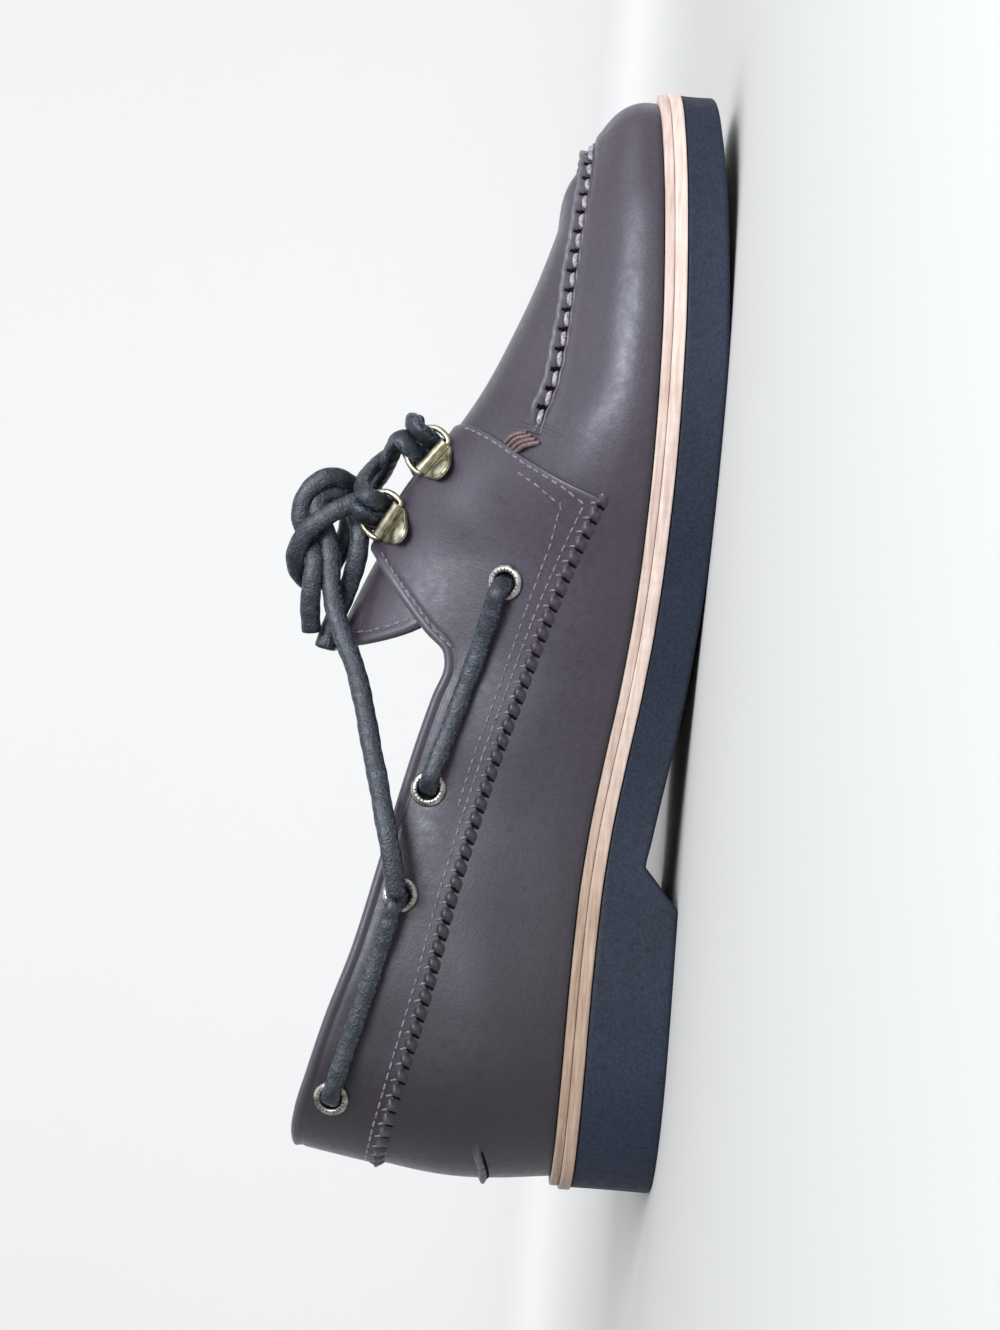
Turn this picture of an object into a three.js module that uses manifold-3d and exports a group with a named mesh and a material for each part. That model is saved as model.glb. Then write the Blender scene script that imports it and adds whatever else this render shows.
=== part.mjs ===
// A left boat shoe with a moccasin toe, standing on its sole. Millimetres, +Z up, +X to the toe, +Y to the
// wearer's left, which is the outer (lateral) side of this shoe, and -Y the inner (medial) side.
import * as THREE from "three";
import { mergeVertices } from "three/addons/utils/BufferGeometryUtils.js";
import Module from "manifold-3d";

const wasm = await Module();
wasm.setup();

// ---------------------------------------------------------------- driving dimensions
const SOLE_LENGTH = 300;
const GAP = 0.3; // between two pieces that touch
const WELT_THICK = 2.1;
const MIDSOLE_THICK = 3.1;
const MIDSOLE_PROUD = 0.6; // how far the midsole stands out past the outsole
const WELT_INSET = 0.3; // how far the welt stays inside the outsole's outline
const LEDGE = 2.6; // the welt's visible ledge outside the upper
const WALL = 2.2; // leather and its lining
const INSOLE_ABOVE_WELT = 3.2;
const EDGE_ROUND = 1.2; // the outsole's bottom edge
const AROUND = 80; // points around the shoe
const SLIVER = 0.02;
const CENTRE_Y = 1.0; // the middle of the shoe's width

// The outsole's outline: half widths on each side of the line from heel to toe.
const OUTLINE = {
  columns: ["x", "medial", "lateral"],
  rows: [
    [4, 16, 16],
    [14, 26.5, 27],
    [30, 33, 33.5],
    [50, 34, 35],
    [78, 31, 36],
    [107, 28.5, 38.5],
    [137, 32, 44],
    [166, 40, 49.5],
    [191, 48, 53],
    [211, 51.2, 53],
    [230, 51, 49],
    [250, 48, 44],
    [270, 43, 35],
    [284, 35, 25.5],
    [294, 25.5, 15],
  ],
};
const HEEL_POINT = new THREE.Vector3(0, 0, 0);
const TOE_POINT = new THREE.Vector3(SOLE_LENGTH, -5.5, 0);

// The welt's top edge over the floor.
const WELT_TOP = {
  columns: ["x", "z"],
  rows: [
    [0, 27.2],
    [50, 27.0],
    [80, 26.2],
    [98, 24.8],
    [117, 22.4],
    [136, 19.8],
    [155, 18.0],
    [174, 17.1],
    [196, 16.8],
    [228, 17.2],
    [246, 17.9],
    [266, 19.1],
    [284, 20.4],
    [300, 21.8],
  ],
};

// The under side of the waist, and of the toe, over the floor. Between and behind them the sole is flat at 0.
const WAIST_UNDER = {
  columns: ["x", "z"],
  rows: [
    [80.5, 0],
    [91, 9.3],
    [98, 8.2],
    [107, 6.8],
    [117, 5.2],
    [126, 3.8],
    [145, 1.7],
    [162, 0.5],
    [176, 0],
  ],
};
const TOE_UNDER = {
  columns: ["x", "z"],
  rows: [
    [222, 0],
    [238, 0.8],
    [256, 2.1],
    [278, 4.2],
    [302, 7.0],
  ],
};

// The upper's sections. The wall rises from the welt to a shoulder line, which on the vamp is the moccasin
// seam, and from there to the ridge. Insets are measured inwards from the foot of the wall; lean is the
// wall's angle from upright at the shoulder; behind x = 169 the ridge is above the collar's cut.
const SECTIONS = {
  columns: ["x", "inMedial", "inLateral", "shoulder", "lean", "ridge", "ridgeY"],
  rows: [
    [0, -0.6, -0.6, 68, 9, 150, 0],
    [15, -0.4, -0.4, 67, 8, 150, 0],
    [40, 0.4, 0.4, 65, 7, 148, 0],
    [80, -0.6, 2.0, 60, 5, 138, 2],
    [115, 0.2, 6.0, 55, 8, 119, 2],
    [146, 4.5, 10.5, 52, 15, 101, 1],
    [169, 8.5, 14.0, 51, 27, 90.5, 0.5],
    [186, 10.2, 15.5, 50.5, 38, 81.5, 0.5],
    [201, 12.0, 16.0, 47.5, 48, 71.5, 0],
    [216, 14.2, 15.8, 43.5, 56, 62.8, -0.4],
    [231, 15.4, 15.2, 41.8, 61, 56.2, -1],
    [250, 16.0, 14.2, 40.6, 66, 49.2, -2],
    [268, 15.0, 13.6, 39.4, 69, 44.4, -3.4],
    [286, 13.6, 13.4, 38.4, 70, 42.4, -4.5],
    [300, 13.4, 13.4, 38.2, 70, 42.4, -4.5],
  ],
};
const RIDGE_BACK = 36; // the ridge line runs between these two places, and the sections fan out past them
const RIDGE_FRONT = 262;
const FOOT_FLARE = 7; // degrees that the wall leans out where it leaves the welt
const LIP_HIGH = 2.4; // the moccasin seam's gathered lip
const LIP_BACK = 198;

// The collar's top edge, from the heel to the low point in front, then up the lacing edge.
const TOPLINE = {
  columns: ["x", "z"],
  rows: [
    [-20, 98.2],
    [12, 98.2],
    [19, 97.4],
    [30, 94.8],
    [45, 91],
    [65, 85],
    [85, 80.5],
    [96, 78.2],
    [117, 73.4],
    [132, 69.4],
    [140, 66.9],
  ],
};
const LACING_EDGE = {
  columns: ["x", "z"],
  rows: [
    [143.5, 67.4],
    [148.2, 72.3],
    [156, 79.2],
    [163, 84.7],
    [169.5, 89.4],
    [178, 98],
    [190, 112],
  ],
};
const THROAT = { back: 150, front: 190, halfBack: 8.5, halfFront: 6.5, y: 0.5 };
const TONGUE = { back: 143.5, front: 216, halfBack: 23, halfFront: 19, corner: 9, under: 0.6, thick: 2.0 };

// ---------------------------------------------------------------- small tools
const column = (table, name) => {
  const k = table.columns.indexOf(name);
  return table.rows.map((row) => row[k]);
};

// A smooth function through a table's rows that doesn't overshoot between them.
function smooth(table, name) {
  const x = column(table, "x");
  const y = column(table, name);
  const step = x.slice(1).map((b, i) => (y[i + 1] - y[i]) / (b - x[i]));
  const slope = x.map((_, i) => {
    const a = step[i - 1] ?? step[0];
    const b = step[i] ?? step.at(-1);
    return a * b <= 0 ? 0 : (2 * a * b) / (a + b);
  });
  return (at) => {
    const t = Math.min(Math.max(at, x[0]), x.at(-1));
    const i = Math.max(0, Math.min(x.length - 2, x.findLastIndex((v) => v <= t)));
    const w = x[i + 1] - x[i];
    const s = (t - x[i]) / w;
    const rise = y[i] * (1 + 2 * s) * (1 - s) ** 2 + y[i + 1] * s * s * (3 - 2 * s);
    return rise + w * (slope[i] * s * (1 - s) ** 2 + slope[i + 1] * s * s * (s - 1));
  };
}

const solidOf = (geometry) => {
  const bare = geometry.index ? geometry.toNonIndexed() : geometry.clone();
  bare.deleteAttribute("normal");
  bare.deleteAttribute("uv");
  const merged = mergeVertices(bare, 1e-3);
  const index = merged.index.array;
  const kept = [];
  for (let i = 0; i < index.length; i += 3) {
    const [a, b, c] = [index[i], index[i + 1], index[i + 2]];
    if (a !== b && b !== c && c !== a) kept.push(a, b, c);
  }
  return new wasm.Manifold(
    new wasm.Mesh({
      numProp: 3,
      vertProperties: merged.attributes.position.array,
      triVerts: new Uint32Array(kept),
    }),
  );
};

// A cut solid's geometry, with the slivers that the cuts left closed up.
const geometryOf = (solid) => {
  const mesh = solid.simplify(SLIVER).getMesh();
  return new THREE.BufferGeometry()
    .setAttribute("position", new THREE.BufferAttribute(mesh.vertProperties, 3))
    .setIndex(new THREE.BufferAttribute(mesh.triVerts, 1));
};

// Faces between rings of points, each ring running the same way round; loop joins the last to the first.
function skinOver(rings, loop = false) {
  const n = rings[0].length;
  const points = rings.flat();
  const faces = [];
  const last = loop ? rings.length : rings.length - 1;
  for (let r = 0; r < last; r++)
    for (let i = 0; i < n; i++) {
      const a = r * n + i;
      const b = r * n + ((i + 1) % n);
      const c = ((r + 1) % rings.length) * n + i;
      const d = ((r + 1) % rings.length) * n + ((i + 1) % n);
      faces.push(a, b, d, a, d, c);
    }
  return new THREE.BufferGeometry().setFromPoints(points).setIndex(faces);
}

// A prism of a flat shape, standing along Z from low to high.
function prismUp(shape, low, high) {
  const geometry = new THREE.ExtrudeGeometry(shape, {
    depth: high - low,
    bevelEnabled: false,
    curveSegments: 10,
  });
  return solidOf(geometry.translate(0, 0, low));
}

// A prism of a side view, x along the shoe and y up, reaching past the shoe on both sides.
function prismAcross(points) {
  const reach = 90;
  const geometry = new THREE.ExtrudeGeometry(new THREE.Shape(points), {
    depth: 2 * reach,
    bevelEnabled: false,
  });
  return solidOf(geometry.rotateX(Math.PI / 2).translate(0, reach, 0));
}

// ---------------------------------------------------------------- the last's own functions
const outlinePoints = [
  HEEL_POINT,
  ...OUTLINE.rows.map(([x, medial]) => new THREE.Vector3(x, -medial, 0)),
  TOE_POINT,
  ...OUTLINE.rows.toReversed().map(([x, , lateral]) => new THREE.Vector3(x, lateral, 0)),
];
const outline = new THREE.CatmullRomCurve3(outlinePoints, true, "centripetal");
outline.arcLengthDivisions = 800;
const weltTop = smooth(WELT_TOP, "z");
const section = Object.fromEntries(
  SECTIONS.columns.slice(1).map((name) => [name, smooth(SECTIONS, name)]),
);

// Where the outline is at a share of the way round, and which way is inwards there.
function rim(u) {
  const share = ((u % 1) + 1) % 1;
  const at = outline.getPointAt(share);
  const along = outline.getTangentAt(share);
  return { at, inwards: new THREE.Vector3(-along.y, along.x, 0).normalize() };
}
const toeShare = Array.from({ length: 4000 }, (_, i) => i / 4000).reduce((best, u) =>
  rim(u).at.x > rim(best).at.x ? u : best,
);

// The lateral side's share of the way round at the same x as a medial one.
function acrossFrom(share) {
  const { x } = rim(share).at;
  let [low, high] = [toeShare, 1];
  for (let i = 0; i < 40; i++) {
    const middle = (low + high) / 2;
    if (rim(middle).at.x > x) low = middle;
    else high = middle;
  }
  return (low + high) / 2;
}
const medialShares = Array.from({ length: AROUND / 2 + 1 }, (_, i) => (2 * toeShare * i) / AROUND);
const shares = [...medialShares, ...medialShares.slice(1, -1).toReversed().map(acrossFrom)];
const rims = shares.map(rim);

const ringAt = (inset, height) =>
  rims.map(({ at, inwards }) => {
    const p = at.clone().addScaledVector(inwards, inset);
    return p.setZ(height(at.x));
  });
const spineX = (x) => Math.min(Math.max(x, RIDGE_BACK), RIDGE_FRONT);
const lidAt = (height) =>
  rims.map(({ at }) => {
    const x = spineX(at.x);
    return new THREE.Vector3(x, section.ridgeY(x), height(x));
  });

const bezier = (a, b, c, d, t) => {
  const s = 1 - t;
  return new THREE.Vector3()
    .addScaledVector(a, s * s * s)
    .addScaledVector(b, 3 * s * s * t)
    .addScaledVector(c, 3 * s * t * t)
    .addScaledVector(d, t * t * t);
};
const UP = new THREE.Vector3(0, 0, 1);
const leaning = (inwards, degrees) => {
  const angle = THREE.MathUtils.degToRad(degrees);
  return inwards.clone().multiplyScalar(Math.sin(angle)).addScaledVector(UP, Math.cos(angle));
};

// The upper's outer surface: u goes round the outline, v from 0 at the welt by 1 at the shoulder to 2 at
// the ridge.
function surface(u, v) {
  const { at, inwards } = rim(u);
  const x = at.x;
  const foot = at.clone().addScaledVector(inwards, LEDGE).setZ(weltTop(x) + GAP);
  const inset = (u < toeShare ? section.inMedial : section.inLateral)(x);
  const shoulder = foot.clone().addScaledVector(inwards, inset).setZ(section.shoulder(x));
  const lean = section.lean(x);
  if (v <= 1) {
    const reach = shoulder.distanceTo(foot) * 0.4;
    const low = foot.clone().addScaledVector(leaning(inwards, -FOOT_FLARE), reach);
    const high = shoulder.clone().addScaledVector(leaning(inwards, lean), -reach);
    return bezier(foot, low, high, shoulder, v);
  }
  const ridge = new THREE.Vector3(spineX(x), section.ridgeY(spineX(x)), section.ridge(spineX(x)));
  const across = ridge.clone().sub(shoulder).setZ(0);
  const reach = ridge.distanceTo(shoulder) * 0.38;
  const flat = across.length() * 0.68;
  across.normalize();
  const low = shoulder.clone().addScaledVector(leaning(across, lean), reach);
  const high = ridge.clone().addScaledVector(across, -flat);
  return bezier(shoulder, low, high, ridge, v - 1);
}

// The surface's outward normal; on the ridge both sides share one.
function normalAt(u, v) {
  if (v > 1.98) {
    const x = spineX(rim(u).at.x);
    const slope = (section.ridge(x + 1) - section.ridge(x - 1)) / 2;
    return new THREE.Vector3(-slope, 0, 1).normalize();
  }
  const du = 0.002;
  const dv = 0.01;
  const round = surface(u + du, v).sub(surface(u - du, v));
  const up = surface(u, v + dv).sub(surface(u, v));
  return round.cross(up).normalize();
}

// How far the moccasin seam's lip stands out of the surface.
function lip(u, v) {
  const along = THREE.MathUtils.smoothstep(rim(u).at.x, LIP_BACK, LIP_BACK + 8);
  return LIP_HIGH * along * Math.max(0, 1 - Math.abs(v - 1.06) / 0.11);
}
const LEVELS = [0, 0.25, 0.5, 0.75, 0.94, 1, 1.06, 1.12, 1.2, 1.4, 1.65, 2];

const PLAIN_LEVELS = [0, 0.35, 0.7, 1, 1.3, 1.65, 2]; // for the surfaces inside, which have no lip
const skin = (depth, withLip = false) =>
  (withLip ? LEVELS : PLAIN_LEVELS).map((v) =>
    shares.map((u) => surface(u, v).addScaledVector(normalAt(u, v), (withLip ? lip(u, v) : 0) - depth)),
  );

// The closed form inside the surface at a depth, reaching down to a height below the surface's foot.
function form(depth, down = 0, withLip = false) {
  const rings = skin(depth, withLip);
  const floor = (x) => weltTop(x) + GAP - down;
  const under = rings[0].map((p, i) => p.clone().setZ(floor(rims[i].at.x)));
  return solidOf(skinOver([lidAt(floor), under, ...(down ? rings : rings.slice(1))]));
}

// ---------------------------------------------------------------- sole
const midsoleBase = (x) => weltTop(x) - WELT_THICK - GAP - MIDSOLE_THICK;
const midsoleTop = (x) => weltTop(x) - WELT_THICK - GAP;
const outsoleTop = (x) => midsoleBase(x) - GAP;

function undercut(table, steps) {
  const z = smooth(table, "z");
  const x = column(table, "x");
  const points = [new THREE.Vector2(x[0], -5), new THREE.Vector2(x[0], 0)];
  const from = table === WAIST_UNDER ? x[1] : x[0];
  for (let i = table === WAIST_UNDER ? 0 : 1; i <= steps; i++) {
    const at = from + ((x.at(-1) - from) * i) / steps;
    points.push(new THREE.Vector2(at, z(at)));
  }
  points.push(new THREE.Vector2(x.at(-1), -5));
  return prismAcross(points);
}

function makeOutsole() {
  const block = skinOver([
    lidAt(() => 0),
    ringAt(EDGE_ROUND, () => 0),
    ringAt(0, () => EDGE_ROUND),
    ringAt(0, outsoleTop),
    lidAt(outsoleTop),
  ]);
  return solidOf(block).subtract(undercut(WAIST_UNDER, 12)).subtract(undercut(TOE_UNDER, 8));
}

const makeMidsole = () =>
  solidOf(
    skinOver([
      lidAt(midsoleBase),
      ringAt(-MIDSOLE_PROUD, midsoleBase),
      ringAt(-MIDSOLE_PROUD, midsoleTop),
      lidAt(midsoleTop),
    ]),
  );

function makeWelt() {
  const inner = LEDGE + WALL + 0.5;
  const base = (x) => midsoleTop(x) + GAP;
  const rings = [
    ringAt(inner, base),
    ringAt(WELT_INSET, base),
    ringAt(WELT_INSET, weltTop),
    ringAt(inner, weltTop),
  ];
  return solidOf(skinOver(rings, true));
}

function makeInsole() {
  const inset = LEDGE + WALL + 0.5 + GAP;
  const base = (x) => midsoleTop(x) + GAP;
  const top = (x) => weltTop(x) + INSOLE_ABOVE_WELT;
  return solidOf(
    skinOver([
      lidAt(base),
      ringAt(inset, base),
      ringAt(inset, (x) => top(x) - 1),
      ringAt(inset + 1, top),
      lidAt(top),
    ]),
  );
}

// ---------------------------------------------------------------- upper and tongue
function collarCut() {
  const z = smooth(TOPLINE, "z");
  const x = column(TOPLINE, "x");
  const points = [new THREE.Vector2(x[0], 220)];
  points.push(new THREE.Vector2(x[0], z(x[0])));
  const steps = 20;
  for (let i = 0; i <= steps; i++) {
    const at = 12 + ((x.at(-1) - 12) * i) / steps;
    points.push(new THREE.Vector2(at, z(at)));
  }
  LACING_EDGE.rows.forEach(([px, pz]) => points.push(new THREE.Vector2(px, pz)));
  points.push(new THREE.Vector2(LACING_EDGE.rows.at(-1)[0], 220));
  return prismAcross(points);
}

function throatCut() {
  const { back, front, halfBack, halfFront, y } = THROAT;
  const shape = new THREE.Shape()
    .moveTo(back, y - halfBack)
    .lineTo(front, y - halfFront)
    .absarc(front, y, halfFront, -Math.PI / 2, Math.PI / 2)
    .lineTo(back, y + halfBack);
  return prismUp(shape, 40, 160);
}

function makeUpper() {
  const shell = form(0, 0, true).subtract(form(WALL, 6));
  return drilled(shell.subtract(collarCut()).subtract(throatCut()));
}

function makeTongue() {
  const { back, front, halfBack, halfFront, corner, under, thick } = TONGUE;
  const y = THROAT.y;
  const shape = new THREE.Shape()
    .moveTo(back + corner, y - halfBack)
    .lineTo(front, y - halfFront)
    .lineTo(front, y + halfFront)
    .lineTo(back + corner, y + halfBack)
    .quadraticCurveTo(back, y + halfBack, back, y + halfBack - corner)
    .lineTo(back, y - halfBack + corner)
    .quadraticCurveTo(back, y - halfBack, back + corner, y - halfBack);
  const top = WALL + under;
  return form(top).subtract(form(top + thick, 6)).intersect(prismUp(shape, 40, 160));
}

// ---------------------------------------------------------------- places on the upper
// The place on the medial or lateral surface that a side view shows at x and z.
function placeAt(side, x, z) {
  let [u, v] = [side === "medial" ? toeShare * 0.5 : (1 + toeShare) / 2, 1];
  for (let i = 0; i < 30; i++) {
    const here = surface(u, v);
    const du = surface(u + 1e-4, v).sub(here).multiplyScalar(1e4);
    const dv = surface(u, v + 1e-4).sub(here).multiplyScalar(1e4);
    const det = du.x * dv.z - dv.x * du.z;
    const [ex, ez] = [x - here.x, z - here.z];
    u += THREE.MathUtils.clamp((ex * dv.z - dv.x * ez) / det, -0.03, 0.03);
    v = THREE.MathUtils.clamp(v + THREE.MathUtils.clamp((du.x * ez - ex * du.z) / det, -0.2, 0.2), 0.01, 1.95);
  }
  return { at: surface(u, v), normal: normalAt(u, v) };
}

// A frame on the surface: Z out of the leather, Y up it and X along the shoe, to the toe on the medial side
// and to the heel on the lateral one, turned about Z by roll degrees.
function frameAt(side, x, z, roll = 0) {
  const { at, normal } = placeAt(side, x, z);
  const forward = new THREE.Vector3(side === "medial" ? 1 : -1, 0, 0);
  const along = forward.addScaledVector(normal, -forward.x * normal.x).normalize();
  along.applyAxisAngle(normal, THREE.MathUtils.degToRad(roll));
  const up = normal.clone().cross(along);
  return new THREE.Matrix4().makeBasis(along, up, normal).setPosition(at);
}
const SIDES = ["medial", "lateral"];
const moved = (solid, matrix) => solid.transform(matrix.elements);
const placed = (geometry, matrix) => solidOf(geometry.clone().applyMatrix4(matrix));

// ---------------------------------------------------------------- eyelets
const EYELET = { flange: 4.9, hole: 2.8, barrel: 3.5, proud: 1.3, stand: 0.55, drill: 3.9, sides: 10 };
// Eyelets on each side, from the front, as a side view shows them.
const EYELETS = { columns: ["x", "z"], rows: [[163.4, 51.9], [107.2, 68.1], [78.8, 73.3], [23.9, 87.2]] };

function eyeletGeometry() {
  const { flange, hole, barrel, proud, stand, sides } = EYELET;
  const profile = [
    [hole, -WALL - 0.4],
    [barrel, -WALL - 0.4],
    [barrel, stand],
    [flange, stand],
    [flange, stand + proud * 0.4],
    [flange - 0.8, stand + proud],
    [hole + 0.3, stand + proud],
    [hole, -WALL - 0.4],
  ].map(([r, z]) => new THREE.Vector2(r, z));
  return new THREE.LatheGeometry(profile, sides).rotateX(Math.PI / 2);
}

const eyeletFrames = SIDES.flatMap((side) =>
  EYELETS.rows.map(([x, z], i) => ({ name: `${side}_${i + 1}`, matrix: frameAt(side, x, z) })),
);
const drill = new THREE.CylinderGeometry(EYELET.drill, EYELET.drill, 12, 12).rotateX(Math.PI / 2);
const drilled = (solid) =>
  eyeletFrames.reduce((rest, { matrix }) => rest.subtract(placed(drill, matrix)), solid);

// ---------------------------------------------------------------- hook plates and their D-rings
const HOOK = {
  width: 10.6,
  long: 9.6,
  thick: 1.1,
  barrel: 1.75,
  bore: 1.05,
  stand: 0.5,
  rivet: 1.8,
  dome: 0.8,
  wire: 0.75,
  ring: 12.6,
  reach: 8.4,
  lift: 40,
};
// Hook plates on each side, from the front: where each barrel's middle is in a side view.
const HOOKS = { columns: ["x", "z", "roll"], rows: [[194.6, 72.3, -31], [177.2, 83.0, -29]] };

// A plate folded over its ring: X along the barrel, the ring's side to +Y, Z out of the leather.
function hookPlate() {
  const { width, long, thick, barrel, bore, stand, rivet, dome } = HOOK;
  const half = width / 2;
  const outline = new THREE.Shape()
    .moveTo(-half, 0)
    .lineTo(-half, -long * 0.34)
    .lineTo(-half * 0.56, -long * 0.86)
    .quadraticCurveTo(0, -long * 1.12, half * 0.56, -long * 0.86)
    .lineTo(half, -long * 0.34)
    .lineTo(half, 0);
  const plate = solidOf(
    new THREE.ExtrudeGeometry(outline, { depth: thick, bevelEnabled: false, curveSegments: 5 }).translate(0, 0, stand),
  );
  const tube = new THREE.CylinderGeometry(barrel, barrel, width, 12).rotateZ(Math.PI / 2);
  const hole = new THREE.CylinderGeometry(bore, bore, width + 2, 10).rotateZ(Math.PI / 2);
  const centre = new THREE.Matrix4().makeTranslation(0, 0, stand + barrel);
  const cap = [[0, 0], [rivet, 0], [rivet * 0.75, dome * 0.7], [0, dome]].map(([r, z]) => new THREE.Vector2(r, z));
  const head = new THREE.LatheGeometry(cap, 10).rotateX(Math.PI / 2).translate(0, -long * 0.55, stand + thick - 0.05);
  return plate.add(placed(tube, centre)).subtract(placed(hole, centre)).add(solidOf(head));
}

// A sweep of a round section along a curve.
function tube(curve, radius, steps, sides = 8) {
  const section = new THREE.Shape().absarc(0, 0, radius, 0, 2 * Math.PI);
  const ring = new THREE.Shape(section.getPoints(sides).slice(0, sides));
  return new THREE.ExtrudeGeometry(ring, { steps, bevelEnabled: false, extrudePath: curve });
}

const ringTurn = () =>
  new THREE.Matrix4()
    .makeTranslation(0, 0, HOOK.stand + HOOK.barrel)
    .multiply(new THREE.Matrix4().makeRotationX(THREE.MathUtils.degToRad(HOOK.lift)));

// The ring: a straight bar in the barrel and a bow beyond it, lifted off the leather.
function dRing() {
  const { wire, ring, reach } = HOOK;
  const half = ring / 2;
  const bow = new THREE.CatmullRomCurve3(
    [[-half, 0], [-half, 1.6], [-half * 0.93, reach * 0.62], [-half * 0.5, reach * 0.96], [0, reach],
      [half * 0.5, reach * 0.96], [half * 0.93, reach * 0.62], [half, 1.6], [half, 0]]
      .map(([x, y]) => new THREE.Vector3(x, y, 0)),
  );
  const bar = new THREE.LineCurve3(new THREE.Vector3(-half - 0.3, 0, 0), new THREE.Vector3(half + 0.3, 0, 0));
  const turn = ringTurn();
  return placed(tube(bow, wire, 10, 6), turn).add(placed(tube(bar, wire, 1, 6), turn));
}

// ---------------------------------------------------------------- laces
const LACE = 1.9; // radius
const LACE_STEPS = 20;
const laceTube = (points, steps = LACE_STEPS, radius = LACE) =>
  solidOf(tube(new THREE.CatmullRomCurve3(points, false, "centripetal"), radius, steps));

// A side lace: out of one eyelet, along the leather and into the next one behind it.
function sideLace(side, first, second) {
  const [x1, z1] = EYELETS.rows[first];
  const [x2, z2] = EYELETS.rows[second];
  const above = (t, height) => {
    const { at, normal } = placeAt(side, x1 + (x2 - x1) * t, z1 + (z2 - z1) * t);
    return at.addScaledVector(normal, height);
  };
  const over = EYELET.stand + EYELET.proud + LACE + GAP;
  const heights = [
    [0, -3],
    [0, 1.2],
    [0.045, over + 0.7],
    [0.13, over + 0.2],
    [0.28, over - 0.9],
    [0.5, over - 1.3],
  ];
  const half = heights.map(([t, h]) => above(t, h));
  const back = heights.slice(0, -1).toReversed().map(([t, h]) => above(1 - t, h));
  return laceTube([...half, ...back], 18);
}

// Points of a lace that turns round a ring's bow: down through the ring and up again beside itself.
function throughRing(side, hook) {
  const [x, z, roll] = HOOKS.rows[hook];
  const frame = frameAt(side, x, z, side === "medial" ? roll : -roll);
  const turn = ringTurn();
  const front = side === "medial" ? 1 : -1;
  const points = [
    [2.5, 10.4, 2.2],
    [2.55, 7.2, 3.1],
    [2.6, 4.9, 0.2],
    [1.7, 4.0, -2.2],
    [0, 3.8, -2.9],
    [-1.7, 4.0, -2.2],
    [-2.6, 4.9, 0.2],
    [-2.55, 7.2, 3.1],
    [-2.5, 10.4, 2.2],
  ];
  return points.map(([a, b, c]) =>
    new THREE.Vector3(front * a, b, c).applyMatrix4(turn).applyMatrix4(frame),
  );
}

// The lace over the throat: a bar between the front rings, and from each a strand to the other side's back
// ring, the lateral one on top. Each strand then leaves for the knot.
const CROSS = { y: 0.5, over: 3.4, spread: 7.5, ahead: 6, lift: 1.2 };

function makeCrossing() {
  const strand = (from, to, hump, knotEnd) => {
    const first = throughRing(from, 0);
    const second = throughRing(to, 1);
    const bar = first[0].clone().setY(CROSS.y);
    const middle = first.at(-1).clone().add(second[0]).multiplyScalar(0.5);
    middle.setY(CROSS.y).setZ(middle.z + hump);
    return laceTube([bar.setX(bar.x + 1.5), ...first, middle, ...second, knotEnd], 32);
  };
  const toKnot = (side) => {
    const out = side === "medial" ? -1 : 1;
    return new THREE.Vector3(KNOT.x + CROSS.ahead, CROSS.y + out * CROSS.spread, KNOT.low + CROSS.lift);
  };
  const under = strand("medial", "lateral", 0, toKnot("lateral"));
  const over = strand("lateral", "medial", CROSS.over, toKnot("medial"));
  return under.add(over).subtract(makeKnot(GAP));
}

// The knot's outer form, which its loops fill, and the ends that leave it.
const KNOT = { x: 171, y: -1.5, low: 93.6, high: 114, long: 46, wide: 25 };
const ENDS = {
  long: [
    [157.5, -9, 103.5],
    [147, -12, 101],
    [137, -16, 96.4],
    [126.5, -22, 89.6],
    [116.5, -26.5, 84.2],
    [108, -30, 80.6],
    [101, -33.2, 78.4],
    [94, -34.2, 77.0],
    [86, -34.4, 76.4],
    [79.5, -34.4, 76.0],
  ],
  shortUpper: [
    [156, -3, 108.5],
    [151, -3.5, 109.3],
    [145, -4.5, 108.3],
  ],
  shortLower: [
    [154, 3, 102.4],
    [148, 3.5, 102.6],
    [142, 4.5, 101.2],
  ],
};
const endPoints = (rows) => rows.map(([x, y, z]) => new THREE.Vector3(x, y, z));

function makeKnot(grown = 0) {
  const { x, y, low, high, long, wide } = KNOT;
  const steps = 9;
  const profile = Array.from({ length: steps + 1 }, (_, i) => {
    const angle = (Math.PI * i) / steps;
    const radius = i === 0 || i === steps ? 0 : Math.sin(angle) ** 0.7;
    return new THREE.Vector2(radius, -Math.cos(angle));
  });
  const round = new THREE.LatheGeometry(profile, 16).rotateZ(-Math.PI / 2);
  const body = round.scale(long / 2 + grown, wide / 2 + grown, (high - low) / 2 + grown).translate(x, y, (low + high) / 2);
  return solidOf(body);
}

// ---------------------------------------------------------------- assembly
const leather = new THREE.MeshStandardMaterial({ color: 0x54444e, roughness: 0.5, metalness: 0 });
const tan = new THREE.MeshStandardMaterial({ color: 0xc3a78c, roughness: 0.7, metalness: 0 });
const navy = new THREE.MeshStandardMaterial({ color: 0x2a3444, roughness: 0.75, metalness: 0 });
const brass = new THREE.MeshStandardMaterial({ color: 0x968c64, roughness: 0.35, metalness: 1 });
const lace = new THREE.MeshStandardMaterial({ color: 0x232a34, roughness: 0.6, metalness: 0 });
const footbed = new THREE.MeshStandardMaterial({ color: 0x8a6a50, roughness: 0.8, metalness: 0 });

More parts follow.
